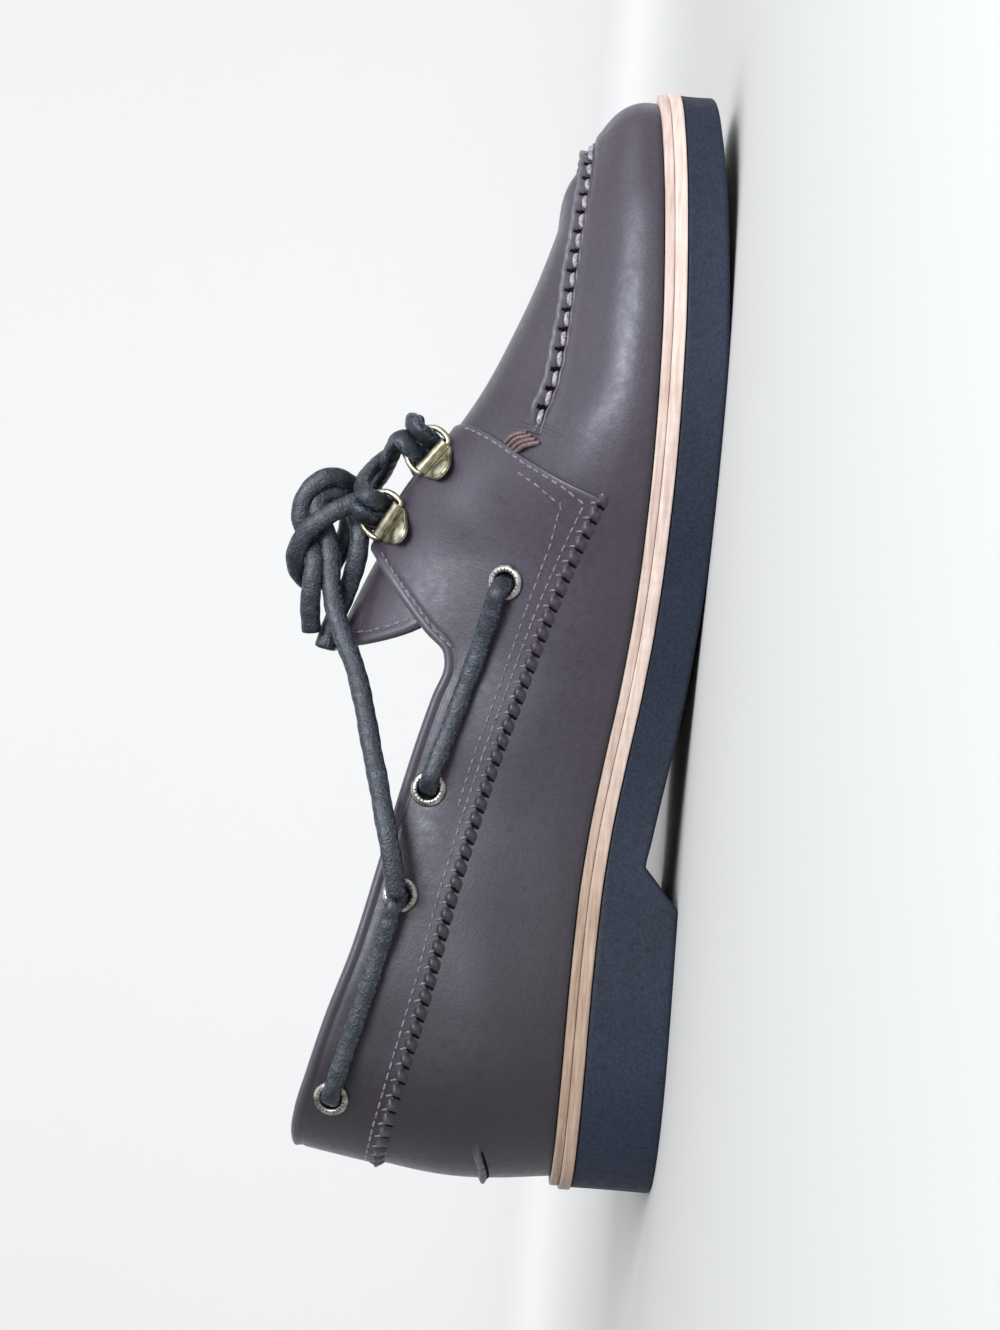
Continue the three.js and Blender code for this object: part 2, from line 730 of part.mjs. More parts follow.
const shoe = new THREE.Group();
const add = (name, solid, material) => {
  const mesh = new THREE.Mesh(geometryOf(solid), material);
  mesh.name = name;
  shoe.add(mesh);
};
add("outsole", makeOutsole(), navy);
add("midsole", makeMidsole(), tan);
add("welt", makeWelt(), tan);
add("insole", makeInsole(), footbed);
add("upper", makeUpper(), leather);
add("tongue", makeTongue(), leather);
for (const { name, matrix } of eyeletFrames) add(`eyelet_${name}`, placed(eyeletGeometry(), matrix), brass);
for (const side of SIDES)
  HOOKS.rows.forEach(([x, z, roll], i) => {
    const matrix = frameAt(side, x, z, side === "medial" ? roll : -roll);
    add(`hook_plate_${side}_${i + 1}`, moved(hookPlate(), matrix), brass);
    add(`d_ring_${side}_${i + 1}`, moved(dRing(), matrix), brass);
  });
for (const side of SIDES) {
  add(`side_lace_${side}_front`, sideLace(side, 0, 1), lace);
  add(`side_lace_${side}_back`, sideLace(side, 2, 3), lace);
}
add("lace_crossing", makeCrossing(), lace);
add("knot", makeKnot(), lace);
const clearOfKnot = (rows) => laceTube(endPoints(rows), 2 * rows.length).subtract(makeKnot(GAP));
add("lace_end_long", clearOfKnot(ENDS.long), lace);
add("lace_end_short_upper", clearOfKnot(ENDS.shortUpper), lace);
add("lace_end_short_lower", clearOfKnot(ENDS.shortLower), lace);
shoe.position.set(-SOLE_LENGTH / 2, -CENTRE_Y, 0);

export default shoe;
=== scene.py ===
"""The looks of a left boat shoe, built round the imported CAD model."""
import math
from collections import namedtuple

import bmesh
import bpy
import numpy as np
from mathutils import Matrix, Vector


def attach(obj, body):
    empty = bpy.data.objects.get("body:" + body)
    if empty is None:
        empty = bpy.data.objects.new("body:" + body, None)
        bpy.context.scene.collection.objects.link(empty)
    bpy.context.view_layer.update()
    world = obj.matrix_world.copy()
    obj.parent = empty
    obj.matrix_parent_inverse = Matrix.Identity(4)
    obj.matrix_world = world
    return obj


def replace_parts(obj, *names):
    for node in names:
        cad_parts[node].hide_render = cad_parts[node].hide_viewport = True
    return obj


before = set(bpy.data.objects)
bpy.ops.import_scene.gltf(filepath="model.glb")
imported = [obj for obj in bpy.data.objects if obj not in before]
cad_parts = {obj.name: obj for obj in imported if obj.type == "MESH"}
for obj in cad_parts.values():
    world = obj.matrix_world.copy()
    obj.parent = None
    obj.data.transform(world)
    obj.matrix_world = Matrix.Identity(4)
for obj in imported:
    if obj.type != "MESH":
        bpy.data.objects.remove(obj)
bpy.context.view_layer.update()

# ---------------------------------------------------------------- the last, in millimetres from the heel
SOLE_LENGTH = 300.0
CENTRE_Y = 1.0
MM = 0.001
WELT_THICK, MIDSOLE_THICK, GAP = 2.1, 3.1, 0.3
LEDGE, WALL = 2.6, 2.2
FOOT_FLARE = 7.0
RIDGE_BACK, RIDGE_FRONT = 36.0, 262.0
LOW_REACH, HIGH_REACH, RIDGE_FLAT = 0.4, 0.38, 0.68  # how far the section's curves run straight on
SHARE_STEP, LEVEL_STEP = 0.0015, 0.008  # to the places that a normal is worked out from
TOP_LEVEL = 1.985  # the highest level with a normal of its own
NUDGE = 1e-4  # the step to the places that a slope is worked out from
RIDGE_LEVEL = 1.99  # from here up a column counts as reaching the ridge

OUTLINE = np.array([  # x, medial and lateral half width
    [4, 16, 16], [14, 26.5, 27], [30, 33, 33.5], [50, 34, 35], [78, 31, 36], [107, 28.5, 38.5],
    [137, 32, 44], [166, 40, 49.5], [191, 48, 53], [211, 51.2, 53], [230, 51, 49], [250, 48, 44],
    [270, 43, 35], [284, 35, 25.5], [294, 25.5, 15]])
TOE_POINT_Y = -5.5
WELT_TOP = np.array([  # x, z
    [0, 27.2], [50, 27.0], [80, 26.2], [98, 24.8], [117, 22.4], [136, 19.8], [155, 18.0],
    [174, 17.1], [196, 16.8], [228, 17.2], [246, 17.9], [266, 19.1], [284, 20.4], [300, 21.8]])
WAIST_UNDER = np.array([  # x, z
    [80.5, 0], [91, 9.3], [98, 8.2], [107, 6.8], [117, 5.2], [126, 3.8], [145, 1.7], [162, 0.5],
    [176, 0]])
TOE_UNDER = np.array([[222, 0], [238, 0.8], [256, 2.1], [278, 4.2], [302, 7.0]])  # x, z
SECTIONS = np.array([  # x, inset medial, inset lateral, shoulder z, lean, ridge z, ridge y
    [0, -0.6, -0.6, 68, 9, 150, 0], [15, -0.4, -0.4, 67, 8, 150, 0], [40, 0.4, 0.4, 65, 7, 148, 0],
    [80, -0.6, 2.0, 60, 5, 138, 2], [115, 0.2, 6.0, 55, 8, 119, 2], [146, 4.5, 10.5, 52, 15, 101, 1],
    [169, 8.5, 14.0, 51, 27, 90.5, 0.5], [186, 10.2, 15.5, 50.5, 38, 81.5, 0.5],
    [201, 12.0, 16.0, 47.5, 48, 71.5, 0], [216, 14.2, 15.8, 43.5, 56, 62.8, -0.4],
    [231, 15.4, 15.2, 41.8, 61, 56.2, -1], [250, 16.0, 14.2, 40.6, 66, 49.2, -2],
    [268, 15.0, 13.6, 39.4, 69, 44.4, -3.4], [286, 13.6, 13.4, 38.4, 70, 42.4, -4.5],
    [300, 13.4, 13.4, 38.2, 70, 42.4, -4.5]])
TOPLINE = np.array([  # x, z of the collar's edge
    [-20, 98.2], [12, 98.2], [19, 97.4], [30, 94.8], [45, 91], [65, 85], [85, 80.5], [96, 78.2],
    [117, 73.4], [132, 69.4], [140, 66.9], [143.5, 67.4], [148.2, 72.3], [156, 79.2], [163, 84.7],
    [169.5, 89.4], [178, 98], [190, 112]])
THROAT_FRONT, THROAT_HALF_BACK, THROAT_HALF_FRONT, THROAT_Y = 190.0, 8.5, 6.5, 0.5
EYELETS = [(163.4, 51.9), (107.2, 68.1), (78.8, 73.3), (23.9, 87.2)]  # x, z from the front
HOOKS = [(194.6, 72.3, -31), (177.2, 83.0, -29)]  # x, z and roll
ZIGZAG = np.array([  # x, z of the hand-sewn seam between vamp and quarter, from the heel
    [-4, 74.5], [5, 74.1], [16, 72.4], [38, 67.8], [57, 63.8], [77, 60.3], [97, 56], [117, 51.1],
    [136, 45.7], [155, 40.3], [173.5, 34.1], [185.5, 29.4]])
FRONT_EDGE = np.array([  # x, z of the quarter's front edge, up to the ridge
    [186.4, 28.9], [190.6, 39.4], [196.2, 49.6], [201.2, 57.3], [204.2, 63.2], [205.6, 69.5]])
SIDES = ("medial", "lateral")


def smooth(table, k=1):
    """A function through a table's rows that doesn't overshoot between them."""
    x, y = table[:, 0], table[:, k]
    step = np.diff(y) / np.diff(x)
    a, b = np.concatenate([step[:1], step]), np.concatenate([step, step[-1:]])
    with np.errstate(divide="ignore", invalid="ignore"):
        slope = np.where(a * b <= 0, 0, 2 * a * b / (a + b))

    def at(t):
        t = np.clip(np.asarray(t, float), x[0], x[-1])
        i = np.clip(np.searchsorted(x, t, side="right") - 1, 0, len(x) - 2)
        w = x[i + 1] - x[i]
        s = (t - x[i]) / w
        rise = y[i] * (1 + 2 * s) * (1 - s) ** 2 + y[i + 1] * s * s * (3 - 2 * s)
        return rise + w * (slope[i] * s * (1 - s) ** 2 + slope[i + 1] * s * s * (s - 1))

    return at


def catmull(points, closed=False, per=24):
    """A centripetal Catmull-Rom curve through the points, as many points per span."""
    p = np.asarray(points, float)
    if closed:
        p = np.concatenate([p[-1:], p, p[:2]])
    else:
        p = np.concatenate([[2 * p[0] - p[1]], p, [2 * p[-1] - p[-2]]])
    t = np.linspace(0, 1, per, endpoint=False)[:, None]
    out = []
    for a, b, c, d in zip(p, p[1:], p[2:], p[3:]):
        da, db, dc = (max(np.linalg.norm(q - r), 1e-9) ** 0.5 for q, r in ((b, a), (c, b), (d, c)))
        m1 = db * ((b - a) / da - (c - a) / (da + db) + (c - b) / db)
        m2 = db * ((c - b) / db - (d - b) / (db + dc) + (d - c) / dc)
        out.append((2 * t**3 - 3 * t**2 + 1) * b + (t**3 - 2 * t**2 + t) * m1
                   + (-2 * t**3 + 3 * t**2) * c + (t**3 - t**2) * m2)
    return np.concatenate(out if closed else out + [p[-2:-1]])


def along(points):
    """The distance along a line of points at each of them."""
    return np.concatenate([[0], np.cumsum(np.linalg.norm(np.diff(points, axis=0), axis=1))])


def resample(points, count):
    """The line again, with that many evenly spaced points."""
    s = along(points)
    at = np.linspace(0, s[-1], count)
    return interpolated(at, s, points)


def interpolated(at, s, points):
    """Points between the rows of a table of points, whose places are s."""
    return np.stack([np.interp(at, s, points[:, k]) for k in range(points.shape[1])], axis=1)


ring = np.concatenate([
    [[0, 0]], OUTLINE[:, :2] * [1, -1], [[SOLE_LENGTH, TOE_POINT_Y]], OUTLINE[::-1][:, [0, 2]]])
ring = catmull(ring, closed=True, per=60)
ring_share = along(np.concatenate([ring, ring[:1]]))
ring_length = ring_share[-1]
ring_share = ring_share / ring_length
ring_along = np.roll(ring, -1, 0) - np.roll(ring, 1, 0)
ring_along /= np.linalg.norm(ring_along, axis=1)[:, None]
toe_share = ring_share[np.argmax(ring[:, 0])]
welt_top = smooth(WELT_TOP)
in_medial, in_lateral, shoulder_z, lean_deg, ridge_z, ridge_y = (smooth(SECTIONS, k) for k in range(1, 7))
waist_under, toe_under = smooth(WAIST_UNDER), smooth(TOE_UNDER)
topline_at, zigzag_at, front_edge_at = smooth(TOPLINE), smooth(ZIGZAG), smooth(FRONT_EDGE[:, ::-1])


def rim(u):
    """The outline at shares u of the way round, and which way is inwards there."""
    u = np.mod(u, 1)
    closed = lambda a: np.interp(u, ring_share, np.concatenate([a, a[:1]]))
    at = np.stack([closed(ring[:, 0]), closed(ring[:, 1]), 0 * u], -1)
    inwards = np.stack([-closed(ring_along[:, 1]), closed(ring_along[:, 0]), 0 * u], -1)
    return at, inwards / np.linalg.norm(inwards, axis=-1, keepdims=True)


def bezier(a, b, c, d, t):
    """A cubic curve from a to d, pulled towards b and c."""
    t = t[..., None]
    s = 1 - t
    return a * s**3 + b * 3 * s * s * t + c * 3 * s * t * t + d * t**3


def leaning(inwards, degrees):
    """Up, leant that many degrees inwards."""
    angle = np.radians(degrees)[..., None]
    return inwards * np.sin(angle) + np.array([0, 0, 1]) * np.cos(angle)


def unit(a):
    return a / np.maximum(np.linalg.norm(a, axis=-1, keepdims=True), 1e-12)


def surface(u, v):
    """The upper's outer surface: v is 0 at the welt, 1 at the shoulder and 2 on the ridge."""
    u, v = np.broadcast_arrays(np.asarray(u, float), np.asarray(v, float))
    at, inwards = rim(u)
    x = at[..., 0]
    foot = at + inwards * LEDGE
    foot[..., 2] = welt_top(x) + GAP
    inset = np.where(np.mod(u, 1) < toe_share, in_medial(x), in_lateral(x))
    shoulder = foot + inwards * inset[..., None]
    shoulder[..., 2] = shoulder_z(x)
    lean = lean_deg(x)
    reach = LOW_REACH * np.linalg.norm(shoulder - foot, axis=-1, keepdims=True)
    low = bezier(foot, foot + leaning(inwards, -FOOT_FLARE + 0 * x) * reach,
                 shoulder - leaning(inwards, lean) * reach, shoulder, np.clip(v, 0, 1))
    ridge = ridge_at(x)
    across = (ridge - shoulder) * [1, 1, 0]
    flat = RIDGE_FLAT * np.linalg.norm(across, axis=-1, keepdims=True)
    across = unit(across)
    reach = HIGH_REACH * np.linalg.norm(ridge - shoulder, axis=-1, keepdims=True)
    high = bezier(shoulder, shoulder + leaning(across, lean) * reach, ridge - across * flat, ridge,
                  np.clip(v - 1, 0, 1))
    return np.where(v[..., None] <= 1, low, high)


def ridge_at(x):
    """The middle line over the shoe, which ends short of the heel and the toe."""
    x = np.clip(x, RIDGE_BACK, RIDGE_FRONT)
    return np.stack([x, ridge_y(x), ridge_z(x)], -1)


def normal_at(u, v):
    """The surface's normal, which turns to the ridge's own near the ridge."""
    u, v = np.broadcast_arrays(np.asarray(u, float), np.asarray(v, float))
    w = np.clip(v, 0, TOP_LEVEL)
    across = surface(u + SHARE_STEP, w) - surface(u - SHARE_STEP, w)
    up = surface(u, w + LEVEL_STEP) - surface(u, w)
    n = unit(np.cross(across, up))
    spine = np.clip(rim(u)[0][..., 0], RIDGE_BACK, RIDGE_FRONT)
    slope = (ridge_z(spine + 1) - ridge_z(spine - 1)) / 2
    top = unit(np.stack([-slope, 0 * slope, 1 + 0 * slope], -1))
    blend = np.clip((v - 1.86) / 0.14, 0, 1)[..., None]
    return unit(n * (1 - blend) + top * blend)


def lifted(points, normals, by):
    """Points moved along their normals, each by its own distance."""
    return points + normals * np.asarray(by)[..., None]


def share_at(side, x):
    """The share of the way round at x on one side."""
    k = int(np.argmax(ring[:, 0]))
    if side == "medial":
        return np.interp(x, ring[:k + 1, 0], ring_share[:k + 1])
    xs, shares = ring[k:, 0][::-1], ring_share[k:-1][::-1]
    return np.interp(x, np.concatenate([[0], xs]), np.concatenate([[1], shares]))


def level_where(u, reached):
    """The lowest v on each u where reached(points) turns true, which it does once going up."""
    low, high = np.zeros_like(u), np.full_like(u, 1.999)
    for _ in range(26):
        mid = (low + high) / 2
        hit = reached(surface(u, mid))
        low, high = np.where(hit, low, mid), np.where(hit, mid, high)
    return high


def place_at(side, x, z):
    """The u and v whose point a side view shows at x and z."""
    x, z = np.asarray(x, float), np.asarray(z, float)
    u, v = share_at(side, x), np.ones_like(x)
    for _ in range(40):
        here = surface(u, v)
        du = (surface(u + NUDGE, v) - here) / NUDGE
        dv = (surface(u, v + NUDGE) - here) / NUDGE
        det = du[..., 0] * dv[..., 2] - dv[..., 0] * du[..., 2]
        det = np.where(np.abs(det) < 1e-6, 1e-6, det)
        ex, ez = x - here[..., 0], z - here[..., 2]
        u = u + np.clip((ex * dv[..., 2] - dv[..., 0] * ez) / det, -0.02, 0.02)
        v = np.clip(v + np.clip((du[..., 0] * ez - ex * du[..., 2]) / det, -0.2, 0.2), 0.005, 1.95)
    return u, v


def frame_at(side, x, z, roll=0.0):
    """Z out of the leather, Y up it and X along the shoe, as the CAD places its hardware."""
    u, v = place_at(side, x, z)
    at, normal = Vector(surface(u, v)), Vector(normal_at(u, v))
    way = Vector((1 if side == "medial" else -1, 0, 0))
    way = (way - normal * way.dot(normal)).normalized()
    way.rotate(Matrix.Rotation(math.radians(roll if side == "medial" else -roll), 3, normal))
    up = normal.cross(way)
    m = Matrix((way, up, normal)).transposed().to_4x4()
    m.translation = at
    return m


def to_row(points):
    """Millimetres from the heel to the row frame in metres."""
    return (np.asarray(points, float) - [SOLE_LENGTH / 2, CENTRE_Y, 0]) * MM


# ---------------------------------------------------------------- meshes
WELD, FINE_WELD, LACE_WELD, FINEST_WELD = 4e-6, 2e-6, 1e-6, 5e-7  # metres between points that are joined


def make_mesh(name, points, faces, materials, slot, index=None):
    """A piece on the root body from points in millimetres."""
    mesh = bpy.data.meshes.new(name)
    mesh.from_pydata(to_row(points).tolist(), [], [list(map(int, f)) for f in faces])
    for m in materials:
        mesh.materials.append(m)
    if index is not None:
        mesh.polygons.foreach_set("material_index", np.asarray(index, np.int32))
    mesh.polygons.foreach_set("use_smooth", [True] * len(mesh.polygons))
    mesh.update()
    piece = bpy.data.objects.new(name, mesh)
    bpy.context.scene.collection.objects.link(piece)
    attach(piece, "root")
    return piece


def grid_faces(rows, columns, loop_rows=False, loop_columns=False, first=0):
    """Quads of a grid of points; each loop joins the last line of points to the first."""
    r = np.arange(rows if loop_rows else rows - 1)
    c = np.arange(columns if loop_columns else columns - 1)
    r, c = np.meshgrid(r, c, indexing="ij")
    r2, c2 = (r + 1) % rows, (c + 1) % columns
    quads = np.stack([r * columns + c, r * columns + c2, r2 * columns + c2, r2 * columns + c], -1)
    return quads.reshape(-1, 4) + first


def shell(outer, inner):
    """Points and faces of a closed sheet between two grids of the same size."""
    rows, columns = outer.shape[:2]
    n = rows * columns
    points = np.concatenate([outer.reshape(-1, 3), inner.reshape(-1, 3)])
    faces = [grid_faces(rows, columns), grid_faces(rows, columns, first=n)[:, ::-1]]
    edge = np.concatenate([
        np.arange(columns), columns * np.arange(1, rows) + columns - 1,
        columns * (rows - 1) + np.arange(columns - 2, -1, -1),
        columns * np.arange(rows - 2, 0, -1)])
    after = np.roll(edge, -1)
    faces.append(np.stack([after, edge, edge + n, after + n], -1))
    return points, np.concatenate(faces)


def tube_faces(rows, n):
    """Faces of rows of n points each, closed round and at both ends."""
    ends = [list(range(n))[::-1], list(range((rows - 1) * n, rows * n))]
    return grid_faces(rows, n, loop_columns=True).tolist() + ends


def merged(piece, distance=WELD):
    """Joins a mesh's points that lie on each other, and turns its faces outwards."""
    work = bmesh.new()
    work.from_mesh(piece.data)
    bmesh.ops.remove_doubles(work, verts=work.verts, dist=distance)
    bmesh.ops.recalc_face_normals(work, faces=work.faces)
    work.to_mesh(piece.data)
    work.free()
    return piece


def frames_along(path):
    """Tangents and two side directions along a path, turning as little as they can."""
    tangent = unit(np.gradient(path, axis=0))
    side = np.zeros_like(path)
    start = np.array([0.0, 0, 1]) if abs(tangent[0, 2]) < 0.9 else np.array([1.0, 0, 0])
    side[0] = unit(np.cross(tangent[0], start))
    for i in range(1, len(path)):
        side[i] = unit(side[i - 1] - tangent[i] * (side[i - 1] @ tangent[i]))
    return tangent, side, np.cross(tangent, side)


def sweep(path, section, closed=False):
    """Points and faces of a closed section (n, 2) swept along a path."""
    _, a, b = frames_along(path)
    if closed:  # the frame's drift over the loop is taken out evenly
        drift = math.atan2(a[0] @ b[-1], a[0] @ a[-1])
        twist = np.linspace(0, drift, len(path))
        c, s = np.cos(twist)[:, None], np.sin(twist)[:, None]
        a, b = a * c + b * s, b * c - a * s
    points = path[:, None] + (section[None, :, :1] * a[:, None] + section[None, :, 1:] * b[:, None])
    rows, n = points.shape[:2]
    faces = grid_faces(rows, n, True, True).tolist() if closed else tube_faces(rows, n)
    return points.reshape(-1, 3), faces


def oval(width, thick, count, power):
    """A rounded section, from round at power 2 to nearly a rectangle."""
    t = np.linspace(0, 2 * np.pi, count, endpoint=False)
    c, s = np.cos(t), np.sin(t)
    return np.stack([np.sign(c) * abs(c) ** (2 / power) * width / 2,
                     np.sign(s) * abs(s) ** (2 / power) * thick / 2], -1)


def joined(parts):
    """One list of points and faces from several."""
    points, faces, first = [], [], 0
    for p, f in parts:
        points.append(p)
        faces += [[i + first for i in face] for face in f]
        first += len(p)
    return np.concatenate(points), faces


def lathe(profile, segments=32):
    """Points and faces of a profile of (radius, height) turned round Z; it closes on itself."""
    t = np.linspace(0, 2 * np.pi, segments, endpoint=False)
    profile = np.asarray(profile, float)
    r, z = profile[:, 0], profile[:, 1]
    points = np.stack([np.cos(t)[:, None] * r, np.sin(t)[:, None] * r, np.zeros_like(t)[:, None] + z], -1)
    return points.reshape(-1, 3), grid_faces(segments, len(r), True, True)[:, ::-1].tolist()


def moved(part, matrix):
    """The part's points turned and moved by a matrix."""
    points, faces = part
    m = np.array(matrix)
    return points @ m[:3, :3].T + m[:3, 3], faces


# ---------------------------------------------------------------- camera
CAMERA_BACK, CAMERA_HIGH, CAMERA_X = 0.65, 0.052, -0.0085
SENSOR = 36  # millimetres
FRAME_LONG = 0.368  # the height of the picture at the shoe's middle
SHOE_LEAN = 4.6  # degrees clockwise from upright that the floor line stands in the picture


def make_camera():
    """Level with the shoe on its medial side, rolled so that the toe is up in the picture."""
    data = bpy.data.cameras.new("camera")
    data.sensor_fit = "VERTICAL"
    data.sensor_height = data.sensor_width = SENSOR
    data.lens = SENSOR * CAMERA_BACK / FRAME_LONG
    data.clip_start, data.clip_end = 0.01, 20
    camera = bpy.data.objects.new("camera", data)
    bpy.context.scene.collection.objects.link(camera)
    camera.location = (CAMERA_X, -CAMERA_BACK, CAMERA_HIGH)
    forward = Vector((0, 1, 0))
    up = Matrix.Rotation(math.radians(-SHOE_LEAN), 3, "Y") @ Vector((1, 0, 0))
    camera.rotation_euler = Matrix((forward.cross(up), up, -forward)).transposed().to_euler()
    bpy.context.scene.camera = camera


make_camera()


# ---------------------------------------------------------------- materials
def srgb(r, g, b):
    """The linear colour of a screen colour from 0 to 255."""
    linear = [c / 255 / 12.92 if c <= 10 else ((c / 255 + 0.055) / 1.055) ** 2.4 for c in (r, g, b)]
    return (*linear, 1)


class Shade:
    """A Principled material that is built up node by node, in object coordinates."""

    def __init__(self, name, roughness, **sockets):
        self.material = bpy.data.materials.new(name)
        self.material.use_nodes = True
        self.tree = self.material.node_tree
        self.shader = self.tree.nodes["Principled BSDF"]
        self.shader.inputs["Roughness"].default_value = roughness
        for socket, value in sockets.items():
            self.shader.inputs[socket.replace("_", " ")].default_value = value
        self.place = self.node("TexCoord", {}, "Object")

    def node(self, kind, inputs, output, **settings):
        """The output of a new node, whose inputs are linked to outputs or set to values."""
        made = self.tree.nodes.new("ShaderNode" + kind)
        for key, value in settings.items():
            setattr(made, key, value)
        for key, value in inputs.items():
            if isinstance(value, bpy.types.NodeSocket):
                self.tree.links.new(value, made.inputs[key])
            else:
                made.inputs[key].default_value = value
        return made.outputs[output]

    def noise(self, scale, detail, stretch=(1, 1, 1)):
        place = self.node("Mapping", {"Vector": self.place, "Scale": stretch}, "Vector")
        return self.node("TexNoise", {"Vector": place, "Scale": scale, "Detail": detail}, "Fac")

    def cells(self, scale):
        return self.node("TexVoronoi", {"Vector": self.place, "Scale": scale}, "Distance")

    def attribute(self, name):
        """A number painted on the points of a piece, or 0 on a piece without it."""
        return self.node("Attribute", {}, "Fac", attribute_name=name)

    def ramp(self, value, low, high, low_at=0.3, high_at=0.7):
        """From one screen colour to another as the value rises."""
        made = self.tree.nodes.new("ShaderNodeValToRGB")
        first, last = made.color_ramp.elements
        first.position, first.color = low_at, srgb(*low)
        last.position, last.color = high_at, srgb(*high)
        self.tree.links.new(value, made.inputs["Fac"])
        return made.outputs["Color"]

    def mix(self, share, a, b):
        """Between two colours by a share."""
        return self.node("Mix", {0: share, 6: a, 7: b}, 2, data_type="RGBA")

    def level(self, value, low, high, to_low, to_high):
        """The value with one range carried to another, and held at its ends."""
        return self.node("MapRange", {"Value": value, "From Min": low, "From Max": high, "To Min": to_low,
                                      "To Max": to_high}, "Result")

    def done(self, colour, roughness=None, relief=()):
        """The material; relief has rows of height, depth in metres and strength, one on the other."""
        links = self.tree.links
        links.new(colour, self.shader.inputs["Base Color"])
        if roughness:
            links.new(roughness, self.shader.inputs["Roughness"])
        normal = {}
        for height, depth, strength in relief:
            inputs = {"Height": height, "Distance": depth, "Strength": strength}
            normal = {"Normal": self.node("Bump", inputs | normal, "Normal")}
        if normal:
            links.new(normal["Normal"], self.shader.inputs["Normal"])
        return self.material


COOL = (0.84, 0.89, 1.0, 1)  # the tint of the gloss


def leather_material(name, light):
    """Waxed leather: light scales its colour; painted on the pieces are heel (partly painted shade),
    wear_and_highlight (wear and painted highlight) and dark (painted shade).
    """
    s = Shade(name, 0.4, Specular_IOR_Level=0.62, Specular_Tint=COOL, Sheen_Weight=0.1, Sheen_Roughness=0.5,
              Sheen_Tint=COOL, Coat_Weight=0.2, Coat_Roughness=0.3)
    tone = lambda *rgb: [light * c for c in rgb]
    broad = s.ramp(s.noise(22, 3), tone(51, 38, 50), tone(67, 53, 67), 0.3, 0.72)
    fine = s.ramp(s.noise(900, 4), tone(42, 31, 43), tone(80, 67, 83), 0.3, 0.75)
    # the heel attribute darkens the colour towards the heel: partly painted shade for the light's falloff
    # there, partly a browner leather tone
    body = s.mix(s.attribute("heel"), s.mix(0.36, broad, fine), srgb(*tone(30, 16, 18)))
    # wear_and_highlight lightens to a cool pale colour on lips, crests and rolled edges: painted highlight,
    # partly wear
    wear_and_highlight = s.mix(s.attribute("wear_and_highlight"), body, srgb(*tone(122, 115, 128)))
    # dark mixes in near-black painted shade in holes, notches, grooves and corners
    return s.done(s.mix(s.attribute("dark"), wear_and_highlight, srgb(12, 9, 11)),
                  s.level(s.noise(420, 5), 0.3, 0.7, 0.38, 0.57),
                  [(s.cells(1250), 0.00005, 0.5), (s.noise(2600, 2), 0.00004, 0.6),
                   (s.noise(90, 3), 0.00028, 0.35)])


def board_material():
    """The welt's and midsole's tan leather board: long fibres, cut and sanded at the edge."""
    s = Shade("tan edge", 0.72, Specular_IOR_Level=0.25, Sheen_Weight=0.15)
    fibres = s.noise(500, 4, stretch=(0.18, 0.18, 2.4))
    clean = s.ramp(fibres, (188, 164, 152), (224, 205, 196), 0.25, 0.75)
    brown = s.ramp(fibres, (134, 110, 94), (182, 158, 140), 0.25, 0.75)
    body = s.mix(s.attribute("heel"), clean, brown)
    body = s.mix(s.level(s.noise(70, 5), 0.55, 0.8, 0, 0.35), body, srgb(158, 126, 106))
    # dark mixes in painted shade under the layers' edges and in the groove between them
    return s.done(s.mix(s.attribute("dark"), body, srgb(84, 56, 44)),
                  relief=[(fibres, 0.00016, 0.7), (s.noise(1500, 3), 0.00008, 0.7)])


def rubber_material():
    s = Shade("navy rubber", 0.62, Specular_IOR_Level=0.35)
    fine = s.ramp(s.noise(1300, 5), (9, 13, 23), (42, 53, 78), 0.32, 0.74)
    broad = s.ramp(s.noise(35, 4), (15, 20, 33), (24, 32, 50))
    return s.done(s.mix(0.45, broad, fine), s.level(s.noise(420, 4), 0.3, 0.7, 0.55, 0.72),
                  [(s.noise(1700, 4), 0.0001, 0.7), (s.noise(160, 3), 0.0002, 0.35)])


def tread_material():
    """The walking face: brown-black, with fine wavy cuts across it."""
    s = Shade("tread", 0.7, Specular_IOR_Level=0.3)
    shape = {"Vector": s.place, "Scale": 62, "Distortion": 2.2, "Detail": 1, "Detail Scale": 1.2}
    wave = s.node("TexWave", shape, "Fac", wave_type="BANDS", bands_direction="X", wave_profile="SIN")
    cuts = s.level(wave, 0.0, 0.22, 0, 1)
    face = s.ramp(s.noise(300, 4), (50, 45, 40), (72, 66, 57))
    return s.done(s.mix(cuts, srgb(22, 20, 18), face),
                  relief=[(cuts, 0.0005, 0.8), (s.noise(1500, 3), 0.00012, 0.7)])


def brass_material(name, dull, bright):
    s = Shade(name, 0.33, Metallic=1.0)
    body = s.ramp(s.noise(420, 4), dull, bright, 0.32, 0.62)
    return s.done(s.mix(s.level(s.noise(1300, 3), 0.62, 0.78, 0, 0.6), body, srgb(60, 54, 38)),
                  s.level(s.noise(700, 4), 0.3, 0.7, 0.28, 0.42), [(s.noise(1800, 3), 0.00002, 0.5)])


